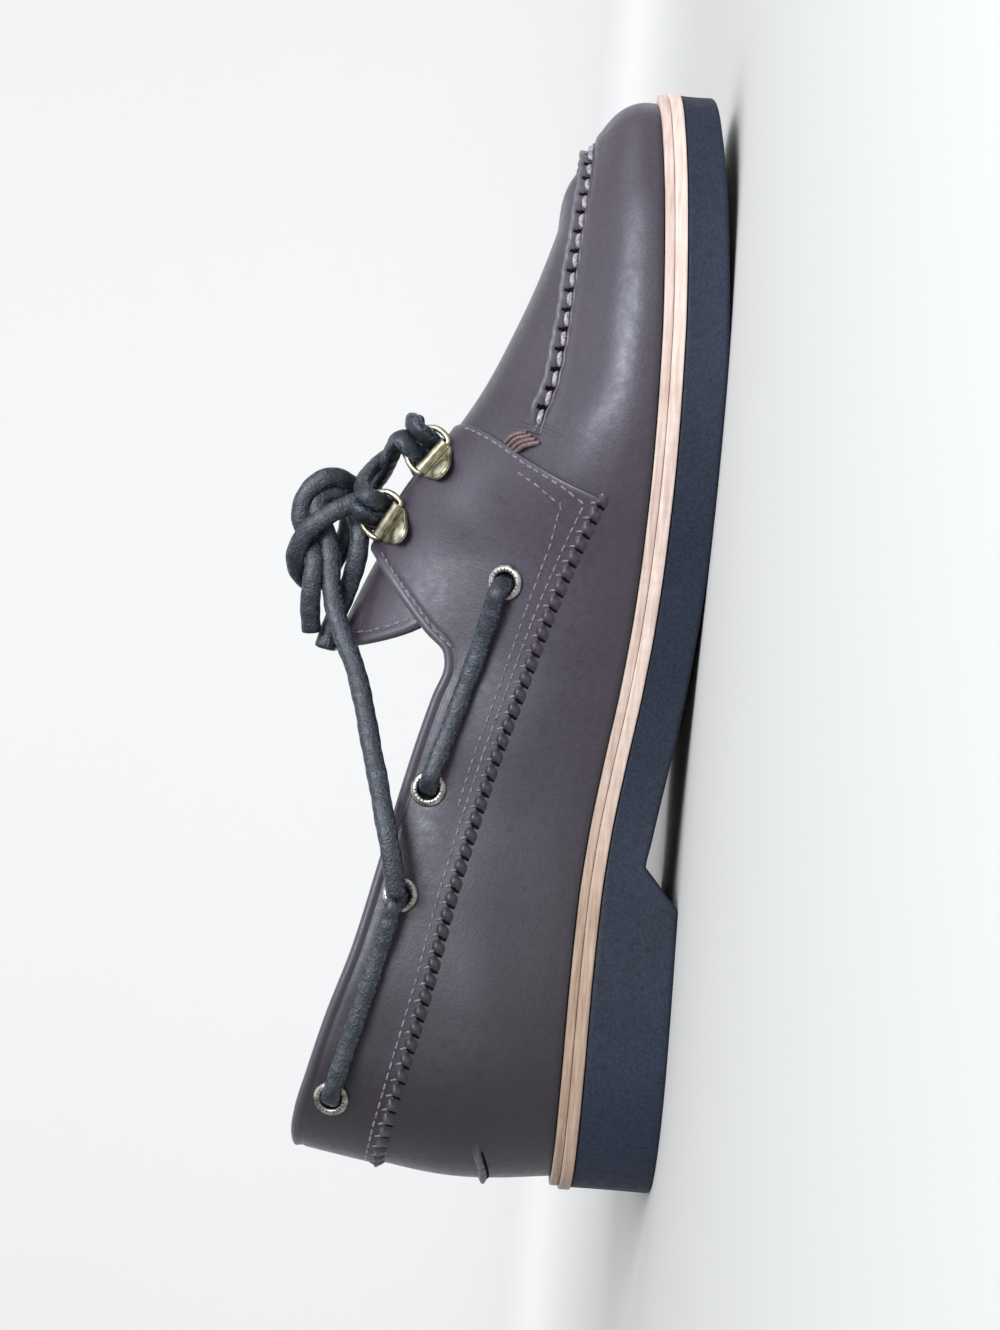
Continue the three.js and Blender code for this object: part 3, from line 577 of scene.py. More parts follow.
def lace_material():
    """Waxed leather thong: nearly black navy, lighter along its edges: painted highlight, partly rub wear.
    """
    s = Shade("waxed lace", 0.42, Specular_IOR_Level=0.6, Specular_Tint=COOL, Coat_Weight=0.1,
              Coat_Roughness=0.3)
    body = s.ramp(s.noise(160, 4), (7, 9, 13), (18, 23, 33), 0.32, 0.68)
    # a lighter colour with fine bright flecks: partly rub wear, partly painted glints; it shows in random
    # patches and along the edges
    rub_and_glint = s.ramp(s.noise(1100, 4), (9, 12, 18), (94, 102, 122), 0.44, 0.8)
    body = s.mix(s.level(s.noise(300, 5), 0.5, 0.68, 0, 0.35), body, rub_and_glint)
    return s.done(s.mix(s.attribute("wear_and_highlight"), body, rub_and_glint), s.level(s.noise(500, 4), 0.3, 0.7, 0.34, 0.56),
                  [(s.noise(1400, 4), 0.0003, 0.9), (s.noise(420, 4), 0.00022, 0.5)])


def paper_material():
    """Pale paper, paler on the wall and far off, where it gets less light than beside the shoe."""
    s = Shade("pale paper", 0.9, Specular_IOR_Level=0.05)
    floor = s.ramp(s.noise(3, 2), (189, 188, 186), (191, 190, 188), 0, 1)
    return s.done(s.mix(s.attribute("wall"), floor, srgb(247, 246, 245)))


def speckled(name, roughness, noise, dark, light, grain=(), **sockets):
    """Two screen colours by a noise; grain has rows of texture, its settings, depth and strength."""
    s = Shade(name, roughness, **sockets)
    textures = {"noise": s.noise, "cells": s.cells}
    relief = [(textures[kind](*settings), depth, strength) for kind, settings, depth, strength in grain]
    return s.done(s.ramp(s.noise(*noise), dark, light), relief=relief)


def thread(name, dark, light):
    twist = [("noise", (3200, 2, (1, 1, 2.5)), 0.00007, 0.8)]
    return speckled(name, 0.5, (1500, 3), dark, light, twist, Specular_IOR_Level=0.5, Sheen_Weight=0.2)


LEATHER = leather_material("leather", 0.8)
LINING = speckled("lining", 0.6, (60, 4), (74, 56, 52), (98, 77, 70),
                  [("cells", (900,), 0.00006, 0.6), ("noise", (1900, 3), 0.00005, 0.7)],
                  Specular_IOR_Level=0.3, Sheen_Weight=0.1)
FOOTBED = speckled("footbed leather", 0.55, (45, 4), (86, 62, 50), (116, 88, 70),
                   [("cells", (1000,), 0.00006, 0.6), ("noise", (140, 3), 0.0002, 0.4)],
                   Specular_IOR_Level=0.35)
BOARD = board_material()
RUBBER = rubber_material()
TREAD = tread_material()
BRASS = brass_material("antique brass", (122, 117, 98), (178, 173, 152))
SILVER = brass_material("antique silver brass", (102, 97, 92), (178, 177, 174))
PATINA = speckled("dark patina", 0.6, (900, 3), (38, 34, 26), (58, 52, 42), Metallic=0.6)
WAXED = lace_material()
FINE_THREAD = thread("mauve thread", (54, 45, 55), (134, 122, 138))
MOC_THREAD = thread("moccasin thread", (92, 82, 94), (176, 165, 178))
END_THREAD = thread("end thread", (66, 47, 50), (122, 96, 98))
PUCKER = leather_material("puckered leather", 0.75)
# painted shade: a near-black material without gloss on the bottom of a seam's holes and notches
HOLE_SHADE = speckled("shadowed hole", 0.9, (900, 2), (14, 10, 12), (24, 18, 21), Specular_IOR_Level=0.05)


def paint(piece, name, values):
    """Gives each point of a piece a number that its material reads."""
    layer = piece.data.attributes.new(name, "FLOAT", "POINT")
    layer.data.foreach_set("value", np.asarray(values, np.float32).ravel())


# ---------------------------------------------------------------- laces
LACE_WIDE, LACE_THICK, LACE_STEP = 5.0, 3.8, 0.8
LACE_SECTION = oval(LACE_WIDE, LACE_THICK, 20, 2.7)
LACE_TIP = [(0.9, 0.35), (0.6, 0.6)]  # share of the section and distance past the end
# the medial strand: up across the knot, round its lower lobe, up behind, and out as the long end
KNOT_LONG = [
    (181.5, -12.6, 90.5), (182.2, -13.8, 93.6), (180.6, -14.4, 97.6), (177.2, -14.2, 102.8),
    (172.6, -13.0, 107.4), (167.2, -10.8, 109.6), (162.2, -7.6, 108.6), (160.0, -4.2, 105.0),
    (163.0, -2.0, 101.4), (169.0, -2.0, 98.6), (176.0, -3.6, 96.6), (181.6, -5.4, 97.4),
    (184.4, -6.8, 101.2), (182.2, -8.0, 104.9), (177.6, -8.8, 104.4), (173.2, -9.4, 101.8),
    (167.6, -10.4, 100.4), (160.0, -11.6, 99.4), (152.6, -13.0, 97.6), (145.4, -15.0, 94.6),
    (137.8, -18.2, 90.8), (127.5, -22.4, 87.2), (117.0, -26.5, 84.2), (108, -30.6, 81.4),
    (101, -34.2, 79.4), (94, -36.2, 77.4), (86, -36.9, 75.4), (79.5, -37, 74.2)]
# the lateral strand: round the top lobe, under the crossing one and out as the upper short end
KNOT_SHORT = [
    (180, 11.4, 92.2), (181.4, 8.2, 92.6), (183.2, 3.6, 93.2), (185.2, -1.8, 94.6),
    (187.8, -6.2, 97.2), (189.0, -8.2, 101.2), (187.0, -8.8, 105.6), (182.4, -8.8, 108.8),
    (177.0, -8.4, 109.2), (171.6, -8.6, 106.8), (166.4, -11.0, 104.6), (160.2, -12.0, 104.6),
    (153.4, -10.8, 104.7), (146.8, -9.0, 104.0)]
KNOT_LOWER = [  # the strand down the knot's sole side, which ends in the lower short end
    (180.2, -5.2, 95.4), (176.4, -8.6, 93.4), (171.4, -9.6, 92.8), (165.6, -9.2, 93.4),
    (159.6, -7.6, 94.9), (153.2, -6.0, 97.2), (147.6, -5.6, 99.2), (142.6, -5.8, 100.2)]
KNOT_WIDTH = 1.08  # of the lace's usual size
TOWARDS_CAMERA = (0.1, -1.0, 0.06)  # where the knot's broad sides face


def lace_mesh(name, path, normals=None, width=1.0):
    """A lace along a path in millimetres, with its broad side to the normals and rounded cut tips."""
    tangent, a, b = frames_along(path)
    if normals is not None:
        b = unit(normals - tangent * np.sum(normals * tangent, 1, keepdims=True))
        a = np.cross(tangent, b)
    s = along(path)
    wobble = 1 + 0.03 * np.sin(s * 0.5) + 0.02 * np.sin(s * 1.4 + 1)
    section = LACE_SECTION[None] * (wobble * width)[:, None, None]
    points = path[:, None] + section[..., :1] * a[:, None] + section[..., 1:] * b[:, None]
    tips = [[path[end] + (points[end] - path[end]) * k + tangent[end] * way * d for k, d in LACE_TIP]
            for end, way in ((0, -1), (-1, 1))]
    points = np.concatenate([tips[0][::-1], points, tips[1]])
    rows, n = points.shape[:2]
    piece = make_mesh(name, points.reshape(-1, 3), tube_faces(rows, n), [WAXED], "laces")
    # the thong's rounded edges are painted lighter: painted highlight, partly rub wear
    edge = np.abs(LACE_SECTION[:, 0]) / (LACE_WIDE / 2)
    paint(piece, "wear_and_highlight", np.tile(np.clip((edge - 0.55) / 0.4, 0, 1), rows))
    return merged(piece, LACE_WELD)


def smoothed(rows, kernel):
    """Rows averaged along their line by a kernel of odd length."""
    pad = len(kernel) // 2
    return np.stack([np.convolve(np.pad(rows[:, k], pad, "edge"), kernel, "valid") for k in range(3)], -1)


def turned_to(path, way):
    """Normals along a path that look one way where the path runs across it, and turn smoothly between."""
    tangent, _, normals = frames_along(path)
    way = np.array(way) / np.linalg.norm(way)
    wanted = way - tangent * (tangent @ way)[:, None]
    wanted = np.where(np.linalg.norm(wanted, axis=1, keepdims=True) < 0.3, normals * 0.01, wanted)
    kernel = np.hanning(15)
    return unit(smoothed(wanted, kernel / kernel.sum()))


def free_lace(name, points, nodes):
    """A lace end: a cord whose line is the curve through its points."""
    path = resample(catmull(points), int(along(np.array(points, float))[-1] / LACE_STEP))
    piece = lace_mesh(name, path, turned_to(path, TOWARDS_CAMERA), KNOT_WIDTH)
    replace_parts(piece, *nodes)


free_lace("lace_end_long_cord", KNOT_LONG, ["lace_end_long", "knot"])
free_lace("lace_end_short_upper_cord", KNOT_SHORT, ["lace_end_short_upper"])
free_lace("lace_end_short_lower_cord", KNOT_LOWER, ["lace_end_short_lower"])

EYELET = dict(flange=4.9, hole=2.8, barrel=3.5, proud=1.3, stand=0.55)
HOOK = dict(width=10.6, long=9.6, thick=1.1, barrel=1.75, bore=1.05, stand=0.5, dome=0.9, dome_wide=3.1,
            wire=0.85, ring=12.6, reach=8.4, lift=40)
CROSS_Y, CROSS_OVER = 0.5, 3.4
THROUGH_RING = [  # the lace's turn round the bow of a ring, in the ring's own frame
    (2.5, 10.4, 2.2), (2.55, 7.2, 3.1), (2.6, 4.9, 0.2), (1.7, 4.0, -2.2), (0, 3.8, -2.9),
    (-1.7, 4.0, -2.2), (-2.6, 4.9, 0.2), (-2.55, 7.2, 3.1), (-2.5, 10.4, 2.2)]


def side_lace(side, first, second):
    """The thong between two eyelets, down into both of them."""
    (x1, z1), (x2, z2) = EYELETS[first], EYELETS[second]
    over = EYELET["stand"] + EYELET["proud"] + LACE_THICK / 2 + GAP
    half = [(0, -1.9), (0, 1.2), (0.045, over + 0.7), (0.13, over + 0.2), (0.28, over - 0.9),
            (0.5, over - 1.2)]
    share, height = np.array(half + [(1 - t, h) for t, h in half[-2::-1]]).T
    u, v = place_at(side, x1 + (x2 - x1) * share, z1 + (z2 - z1) * share)
    n = normal_at(u, v)
    path = catmull(lifted(surface(u, v), n, height), per=16)
    name = f"side_lace_{side}_{'front' if first == 0 else 'back'}"
    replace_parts(lace_mesh(name + "_thong", path, catmull(n, per=16)), name)


def ring_matrix(side, hook):
    """A ring's own frame, with its bow along Y, lifted off the leather."""
    x, z, roll = HOOKS[hook]
    lift = Matrix.Rotation(math.radians(HOOK["lift"]), 4, "X")
    return frame_at(side, x, z, roll) @ Matrix.Translation((0, 0, HOOK["stand"] + HOOK["barrel"])) @ lift


def through_ring(side, hook):
    """The points of the lace's turn through a ring, from the front to the back."""
    front = 1 if side == "medial" else -1
    m = ring_matrix(side, hook)
    return [np.array(m @ Vector((front * a, b, c))) for a, b, c in THROUGH_RING]


def crossing_strand(start, end, arch, last):
    """A strand from the front bar through one side's front ring and over to the other's back ring."""
    first, second = through_ring(start, 0), through_ring(end, 1)
    bar = np.array([first[0][0] + 1.5, CROSS_Y, first[0][2]])
    middle = (first[-1] + second[0]) / 2
    middle[1:] = CROSS_Y, middle[2] + arch
    return [bar, *first, middle, *second, np.array(last, float)]


def lace_crossing():
    """The lace over the throat: a bar between the front rings and two strands that cross behind it."""
    under = crossing_strand("medial", "lateral", 0, KNOT_SHORT[0])
    over = crossing_strand("lateral", "medial", CROSS_OVER, KNOT_LONG[0])
    for name, points in (("lace_strand_under", under), ("lace_strand_over", over)):
        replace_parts(lace_mesh(name, resample(catmull(points), 190)), "lace_crossing")


for side in SIDES:
    side_lace(side, 0, 1)
    side_lace(side, 2, 3)
lace_crossing()

# ---------------------------------------------------------------- where the upper's edges are
ALONG_SIDE = 300  # columns from the heel to the toe


def even_columns(count, closed=False):
    """Shares of the way round, with both sides' columns at the same places along the shoe."""
    medial = np.linspace(0, toe_share, count)
    xs = rim(medial)[0][:, 0]
    xs[0], xs[-1] = 0, ring[:, 0].max()
    u = np.concatenate([medial, share_at("lateral", xs)[-2:0:-1]])
    return np.concatenate([u, u[:1]]) if closed else u


def heel_columns(xs):
    """Shares from the medial side's first place round the heel to the lateral side's; xs ends at 0."""
    return np.concatenate([share_at("medial", xs), share_at("lateral", xs[::-1])[1:] - 1])


def in_opening(p, shrink=0.0):
    """True above the collar's edge or in the throat; shrink moves the edges into the opening."""
    x, y, z = p[..., 0], p[..., 1], p[..., 2]
    half = np.where(x < THROAT_FRONT, THROAT_HALF_BACK + (THROAT_HALF_FRONT - THROAT_HALF_BACK)
                    * np.clip((x - 150) / (THROAT_FRONT - 150), 0, 1),
                    np.sqrt(np.clip(THROAT_HALF_FRONT**2 - (x - THROAT_FRONT)**2, 0, None)))
    return (z > topline_at(x) + shrink) | ((x > 150) & (np.abs(y - THROAT_Y) < half - shrink) & (z > 60))


def in_saddle(p, inside=0.0):
    """True on the quarter panel, above the zigzag seam and behind its front edge."""
    x, z = p[..., 0], p[..., 2]
    return (x < front_edge_at(z) - inside) & (z > zigzag_at(x) + inside)


def upper_grid(u, low, high, near, count):
    """Points and normals on each column in even steps from low to high, with extra rows near both ends."""
    high = np.where(high > RIDGE_LEVEL, 2.0, high)
    v = low[:, None] + (high - low)[:, None] * np.linspace(0, 1, 160)
    p = surface(u[:, None] + 0 * v, v)
    s = np.concatenate([np.zeros((len(u), 1)), np.cumsum(np.linalg.norm(np.diff(p, axis=1), axis=2), 1)], 1)
    total = s[:, -1:]
    near = np.asarray(near)
    k = np.minimum(1, total / (3 * near[-1]))
    inner = near[-1] * k + (total - 2 * near[-1] * k) * np.linspace(0, 1, count)[1:-1]
    wanted = np.concatenate([near * k, inner, total - near[::-1] * k], 1)
    v = np.stack([np.interp(w, ss, vv) for w, ss, vv in zip(wanted, s, v)]).T
    u = np.broadcast_to(u, v.shape)
    return surface(u, v), normal_at(u, v)


def distance_to(points, line):
    """How far each point is from a line of points."""
    flat = points.reshape(-1, 3)
    a, b = line[:-1], line[1:]
    d = b - a
    length2 = np.maximum((d * d).sum(1), 1e-9)
    best = np.full(len(flat), 1e9)
    for start in range(0, len(flat), 4000):
        p = flat[start:start + 4000]
        t = np.clip(((p[:, None] - a) * d).sum(2) / length2, 0, 1)
        near = a + t[..., None] * d
        best[start:start + 4000] = np.sqrt(((p[:, None] - near) ** 2).sum(2)).min(1)
    return best.reshape(points.shape[:-1])


def smoothstep(x, a, b):
    """0 up to a and 1 from b on, with a smooth rise between."""
    t = np.clip((x - a) / (b - a), 0, 1)
    return t * t * (3 - 2 * t)


def fade(t, reach):
    """1 along a line, with a smooth fall to 0 at both ends."""
    return smoothstep(t, 0, reach) * smoothstep(t[-1] - t, 0, reach)


def rolled(distance, radius):
    """The quarter round that a folded edge rises by."""
    return np.sqrt(np.clip(1 - (1 - np.clip(distance / radius, 0, 1)) ** 2, 0, 1))


def hump(x, centre, width, power=2):
    """1 at the centre and falling off on both sides, with a flatter top at a higher power."""
    return np.exp(-np.abs((x - centre) / width) ** power)


PIT, PIT_EDGE, PIT_DEEP = 2.6, 3.6, 6  # an eyelet's hole in the leather, out to its edge, and how deep
eyelet_frames = {(side, i): frame_at(side, x, z) for side in SIDES for i, (x, z) in enumerate(EYELETS)}


def eyelet_pits(points):
    """1 inside the eyelets' holes and 0 elsewhere."""
    pit = np.zeros(points.shape[:-1])
    for m in eyelet_frames.values():
        inverse = np.array(m.inverted())
        local = points @ inverse[:3, :3].T + inverse[:3, 3]
        near = np.hypot(local[..., 0], local[..., 1])
        inside = np.where(np.abs(local[..., 2]) < PIT_DEEP, 1 - smoothstep(near, PIT, PIT_EDGE), 0)
        pit = np.maximum(pit, inside)
    return pit


CREASES = [  # soft troughs and ridges: from x, z to x, z in a side view, half width, depth outwards
    ((222, 33), (198, 40), 5.0, -0.35), ((214, 27), (193, 31), 4.5, -0.25),
    ((228, 26), (206, 24), 6.0, 0.3), ((96, 44), (60, 40), 9.0, -0.5),
    ((60, 52), (28, 46), 8.0, 0.35), ((138, 32), (104, 40), 8.0, -0.35),
    ((158, 60), (140, 62), 6.0, -0.4), ((122, 62), (92, 67), 5.0, 0.3),
    ((45, 80), (30, 70), 6.0, -0.35), ((176, 60), (184, 72), 6.0, 0.3)]


def creases(points):
    """The leather's own swell and sag, the same on both sides."""
    x, z = points[..., 0], points[..., 2]
    total = np.zeros(points.shape[:-1])
    for (x1, z1), (x2, z2), width, depth in CREASES:
        dx, dz = x2 - x1, z2 - z1
        t = np.clip(((x - x1) * dx + (z - z1) * dz) / (dx * dx + dz * dz), 0, 1)
        off = np.hypot(x - x1 - t * dx, z - z1 - t * dz)
        total += depth * hump(off, 0, width) * (0.55 + 0.45 * np.sin(np.pi * t))
    return total


# ---------------------------------------------------------------- upper
SADDLE_HIGH = 0.95  # how far the quarter panel stands over the vamp
OVERLAP = 2.6  # how far the vamp runs in under the quarter panel
LEATHER_IN, LINING_IN = 1.5, 2.3  # the inner faces of leather and lining under the outer surface
SEAM_TROUGH, SEAM_TROUGH_WIDE, SEAM_SWELL = 0.7, 1.6, 3.4
HEEL_SHADE_AND_TONE, HEEL_SHADE_AND_TONE_END = 0.9, 170  # how much darker the heel is painted, partly painted shade for the light's falloff and partly a browner leather tone, and where along the shoe that ends


def leather_sheet(name, outer, inner, dark, wear_and_highlight, seam=False, heel_shade_and_tone=HEEL_SHADE_AND_TONE):
    """A leather sheet between two grids, painted on its outer one with shade, highlight and wear; a seam's
    darkest faces take the painted-shade material.
    """
    points, faces = shell(outer, inner)
    dark, wear_and_highlight = (np.concatenate([a.ravel(), np.zeros(a.size)]) for a in (dark, wear_and_highlight))
    # seam faces whose painted shade is over a half take the glossless painted-shade material
    materials, index = ([PUCKER, HOLE_SHADE], dark[faces].mean(1) > 0.5) if seam else ([LEATHER], None)
    piece = make_mesh(name, points, faces, materials, "upper", index)
    # dark is painted shade, the second is wear with painted highlight, and the heel's darkening is partly
    # painted shade
    paint(piece, "dark", dark)
    paint(piece, "wear_and_highlight", wear_and_highlight)
    paint(piece, "heel", heel_shade_and_tone * (1 - smoothstep(points[:, 0], 0, HEEL_SHADE_AND_TONE_END)))
    return merged(piece, FINE_WELD if seam else WELD)


def vamp():
    """The vamp and the lower quarters, which run in under the quarter panel."""
    u = even_columns(ALONG_SIDE, closed=True)
    top = level_where(u, lambda p: in_saddle(p, OVERLAP))
    base, n = upper_grid(u, np.zeros_like(u), top, [0, 0.3, 0.8, 1.6], 104)
    seam = distance_to(base, moc_line)
    out = creases(base) + 0.35 * hump(seam, SEAM_SWELL, 1.8)
    out = out - SEAM_TROUGH * hump(seam, 0, SEAM_TROUGH_WIDE)
    # painted shade in the corner over the welt and in the seam's trough; the swell beside the seam is
    # painted lighter, a painted highlight with some wear
    foot = 1 - smoothstep(base[..., 2] - welt_top(base[..., 0]), 0.4, 2.6)
    dark = 0.75 * foot + 0.35 * hump(seam, 0, 1.1)
    wear_and_highlight = 0.15 * hump(seam, SEAM_SWELL, 1.6)
    leather_sheet("upper_vamp", lifted(base, n, out), base - n * LEATHER_IN, dark, wear_and_highlight)


def saddle_columns():
    xs = np.concatenate([np.linspace(205.5, 184, 56), np.linspace(183, 1.2, 178), [0.35, 0.0]])
    return heel_columns(xs)


def saddle():
    """The quarter panel round the heel and over the instep, on both sides, with its rolled top edge."""
    u = saddle_columns()
    low, high = level_where(u, in_saddle), level_where(u, in_opening)
    base, n = upper_grid(u, low, np.maximum(high, low + 0.002), [0, 0.1, 0.25, 0.5, 0.9, 1.5, 2.2, 3.0], 70)
    bottom = distance_to(base, base[0])
    top = distance_to(base, base[-1][high < RIDGE_LEVEL])
    out = SADDLE_HIGH * (0.25 + 0.75 * rolled(bottom, 0.8)) + creases(base) * smoothstep(bottom, 0, 6)
    out += 0.4 * hump(top, 1.4, 0.9) - 0.22 * hump(top, 3.0, 0.7) - 1.5 * (1 - rolled(top, 1.3))
    pit = eyelet_pits(base)
    out = out * (1 - pit) - 1.1 * pit
    under = np.where(bottom < OVERLAP, 0.3, np.where(top < 5, 2.5, LEATHER_IN))
    inside = 0.7 * (1 - rolled(top, 1.3)) - under
    cut = 1 - smoothstep(bottom, 0.1, 0.55)
    # painted shade in the eyelet pits and in the trough under the rolled top, darker along the cut bottom
    # edge; the rolled edges' crests are painted lighter, painted highlight with some wear
    dark = np.clip(0.85 * pit + 0.5 * cut + 0.25 * hump(top, 3.0, 0.6), 0, 1)
    wear_and_highlight = 0.3 * hump(top, 1.2, 1.0) + 0.2 * hump(bottom, 0.9, 0.5)
    piece = leather_sheet("upper_saddle", lifted(base, n, out), lifted(base, n, inside), dark, wear_and_highlight)
    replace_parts(piece, "upper")


def lining():
    u = even_columns(130, closed=True)
    high = level_where(u, lambda p: in_opening(p, -1.4))
    base, n = upper_grid(u, np.full_like(u, 0.02), high, [0, 0.5], 46)
    points, faces = shell(base - n * (LEATHER_IN + 0.1), base - n * LINING_IN)
    merged(make_mesh("upper_lining", points, faces, [LINING], "upper"))


MOC_END = 200.0  # where the moccasin seam runs under the quarter panel on both sides
moc_u = np.concatenate([np.linspace(share_at("medial", MOC_END), toe_share, 160),
                        np.linspace(toe_share, share_at("lateral", MOC_END), 160)[1:]])
moc_line = surface(moc_u, np.ones_like(moc_u))
vamp()
saddle()
lining()

# ---------------------------------------------------------------- strips, stitches and seams
# In the seams' reliefs t runs along the line and w across it, upwards, both in millimetres.
STRIP_THICK = 0.7
Line = namedtuple("Line", "t points normals tangent across")
Stitch = namedtuple("Stitch", "material pitch length width high turn")
MOC_PITCH, MOC_SECTION, LIP_HIGH = 5.5, np.linspace(-2.4, 6.4, 38), 2.7
ZIG_PITCH, ZIG_SECTION, ZIG_END = 4.4, np.linspace(-3.0, 3.0, 18), 186.5
HEEL_LIP_LONG, HEEL_LIP_HIGH, HEEL_SECTION = 16.0, 45.0, np.linspace(-3.2, 3.0, 22)
MOC_STITCH = Stitch(MOC_THREAD, MOC_PITCH, 4.3, 1.6, 1.5, 0.2)
FINE_STITCH = Stitch(FINE_THREAD, 2.9, 2.3, 0.62, 0.6, 0.0)
ZIG_STITCH = Stitch(FINE_THREAD, ZIG_PITCH, 2.0, 0.6, 0.55, 1.0)


def surface_line(u, v, step):
    """A line on the surface through shares and levels, with its way across pointing up."""
    s = along(surface(u, v))
    t = np.linspace(0, s[-1], int(s[-1] / step))
    u, v = np.interp(t, s, u), np.interp(t, s, v)
    p, n = surface(u, v), normal_at(u, v)
    tangent = unit(np.gradient(p, axis=0))
    across = unit(np.cross(n, tangent))
    return Line(t, p, n, tangent, np.where(across[:, 2:] < 0, -across, across))


def strip(name, line, section, heights, dark, wear_and_highlight):
    """A band of puckered leather along a line on the upper, its own relief given by heights."""
    heights = heights + creases(line.points)[:, None]
    flat = line.points[:, None] + line.across[:, None] * section[None, :, None]
    n = line.normals[:, None]
    inner = lifted(flat, n, np.minimum(heights, 0) - STRIP_THICK)
    leather_sheet(name, lifted(flat, n, heights), inner, dark, wear_and_highlight, seam=True)


def spare(t, pitch):
    """The share of a pitch that is left over before the first of a line's stitches."""
    return (t[-1] / pitch - int(t[-1] / pitch)) / 2


def moc_seam():
    """The gathered lip beside the moccasin seam."""
    line = surface_line(moc_u, np.ones_like(moc_u), step=0.42)
    t, w = line.t[:, None], MOC_SECTION[None]
    full = fade(t, 7)
    along_pitch = t / MOC_PITCH - spare(line.t, MOC_PITCH)
    phase = 2 * np.pi * along_pitch
    lip = LIP_HIGH * smoothstep(w, 0.6, 1.5) * (1 - smoothstep(w, 2.2, 4.6))
    lip = lip * (1 + 0.035 * np.cos(phase) + 0.05 * np.sin(t * 0.31))
    gather = 0.07 * np.cos(phase - 0.7 * w) + 0.05 * np.cos(2 * phase + 1.3 * w + np.sin(t * 0.4))
    gather = gather * hump(w, 2.6, 1.5)
    fold = 0.28 * hump(w, 3.1 + 0.25 * np.sin(t * 0.22), 0.22)
    swell = 0.4 * hump(w, -1.5, 0.7) * (1 + 0.35 * np.cos(phase + 1))
    off = (np.mod(along_pitch + 0.5, 1) - 0.5) * MOC_PITCH
    hole = hump(off, 0, 0.95, 3) * hump(w, 0.1, 1.15, 3)
    h = (lip + gather + swell - fold) * full - 0.3 * hump(w, 0, 0.9) - 0.25 * hole * full
    h -= 0.9 * smoothstep(np.abs(w - 2.0), 3.6, 4.4)
    # painted shade in the stitch holes, at the lip's foot and in its fold; the lip's face is painted
    # lighter, a painted highlight where it catches the light
    dark = np.clip(1.1 * hole + 0.4 * hump(w, 0.45, 0.25) + 0.5 * fold, 0, 1) * full
    wear_and_highlight = full * hump(w, 1.6, 0.85, 3) * (0.8 + 0.2 * np.cos(phase + 1.4 * np.sin(t * 0.7)))
    strip("moccasin_seam", line, MOC_SECTION, h, dark, wear_and_highlight)
    return line


def zigzag_seam():
    """The puckered seam under the quarter panel: a row of small scallops over dark notches."""
    u = saddle_columns()
    keep = rim(u)[0][:, 0] < ZIG_END
    line = surface_line(u[keep], level_where(u, in_saddle)[keep], step=0.3)
    t, w = line.t[:, None], ZIG_SECTION[None]
    full = fade(t, 2.5)
    back = np.where(t < t[-1] / 2, 1, -1)  # which way along the line leads to the heel
    d = (np.mod(t / ZIG_PITCH + (w + 0.4) * back * 0.07, 1) - 0.5) * ZIG_PITCH * back
    scallop = hump(d, -0.2, 1.45, 3) * hump(w, -0.1, 1.5, 2.8)
    notch = hump(d, 1.7, 0.6, 2.6) * hump(w, -0.5, 1.35, 3)
    floor = SADDLE_HIGH * smoothstep(w, -0.6, 0.7) - 0.35
    h = floor + full * (1.55 * scallop + 0.5 * notch) - 0.5 * smoothstep(np.abs(w), 2.0, 3.0)
    # painted shade in the notches and under the scallops; the scallops' crests are painted lighter, a
    # painted highlight
    dark = np.clip(1.15 * notch + 0.5 * hump(w, -2.0, 0.45) * hump(d, 0, 1.4, 3), 0, 1) * full
    wear_and_highlight = 0.5 * hump(d, -0.6, 0.8) * hump(w, 0.2, 0.9) * full
    strip("zigzag_seam", line, ZIG_SECTION, h, dark, wear_and_highlight)
    return line


def capsule(length, width, high, rings=9, around=10):
    """A stitch along X that dips at both ends."""
    t = np.linspace(-1, 1, rings)[:, None]
    c = np.linspace(0, 2 * np.pi, around, endpoint=False)
    r = np.sqrt(np.clip(1 - np.abs(t) ** 3.4, 0.02, 1))
    x = t * length / 2 + 0 * c
    y = r * np.cos(c) * width / 2
    z = r * np.sin(c) * high / 2 - np.abs(t) ** 3 * high * 0.25
    return np.stack([x, y, z], -1).reshape(-1, 3), tube_faces(rings, around)


def stitches(name, lines, stitch, lift):
    """One mesh of stitches along lines on the surface, lifted over it."""
    points, faces = capsule(stitch.length, stitch.width, stitch.high)
    parts = []
    for line in lines:
        first = (0.5 + spare(line.t, stitch.pitch)) * stitch.pitch
        for k in range(int(line.t[-1] / stitch.pitch)):
            i = int(np.searchsorted(line.t, first + k * stitch.pitch))
            n = line.normals[i]
            way = unit(line.tangent[i] * math.cos(stitch.turn) + line.across[i] * math.sin(stitch.turn))
            turn = np.stack([way, np.cross(n, way), n], 1)
            parts.append((points @ turn.T + line.points[i] + n * lift, faces))
    return make_mesh(name, *joined(parts), [stitch.material], "upper")


def side_line(side, rows, step=0.5, corners=False):
    """A line on one side of the upper through places of a side view, with a curve or corners at them."""
    p = resample(np.array(rows, float), 40 * len(rows)) if corners else catmull(rows, per=10)
    return surface_line(*place_at(side, p[:, 0], p[:, 1]), step)


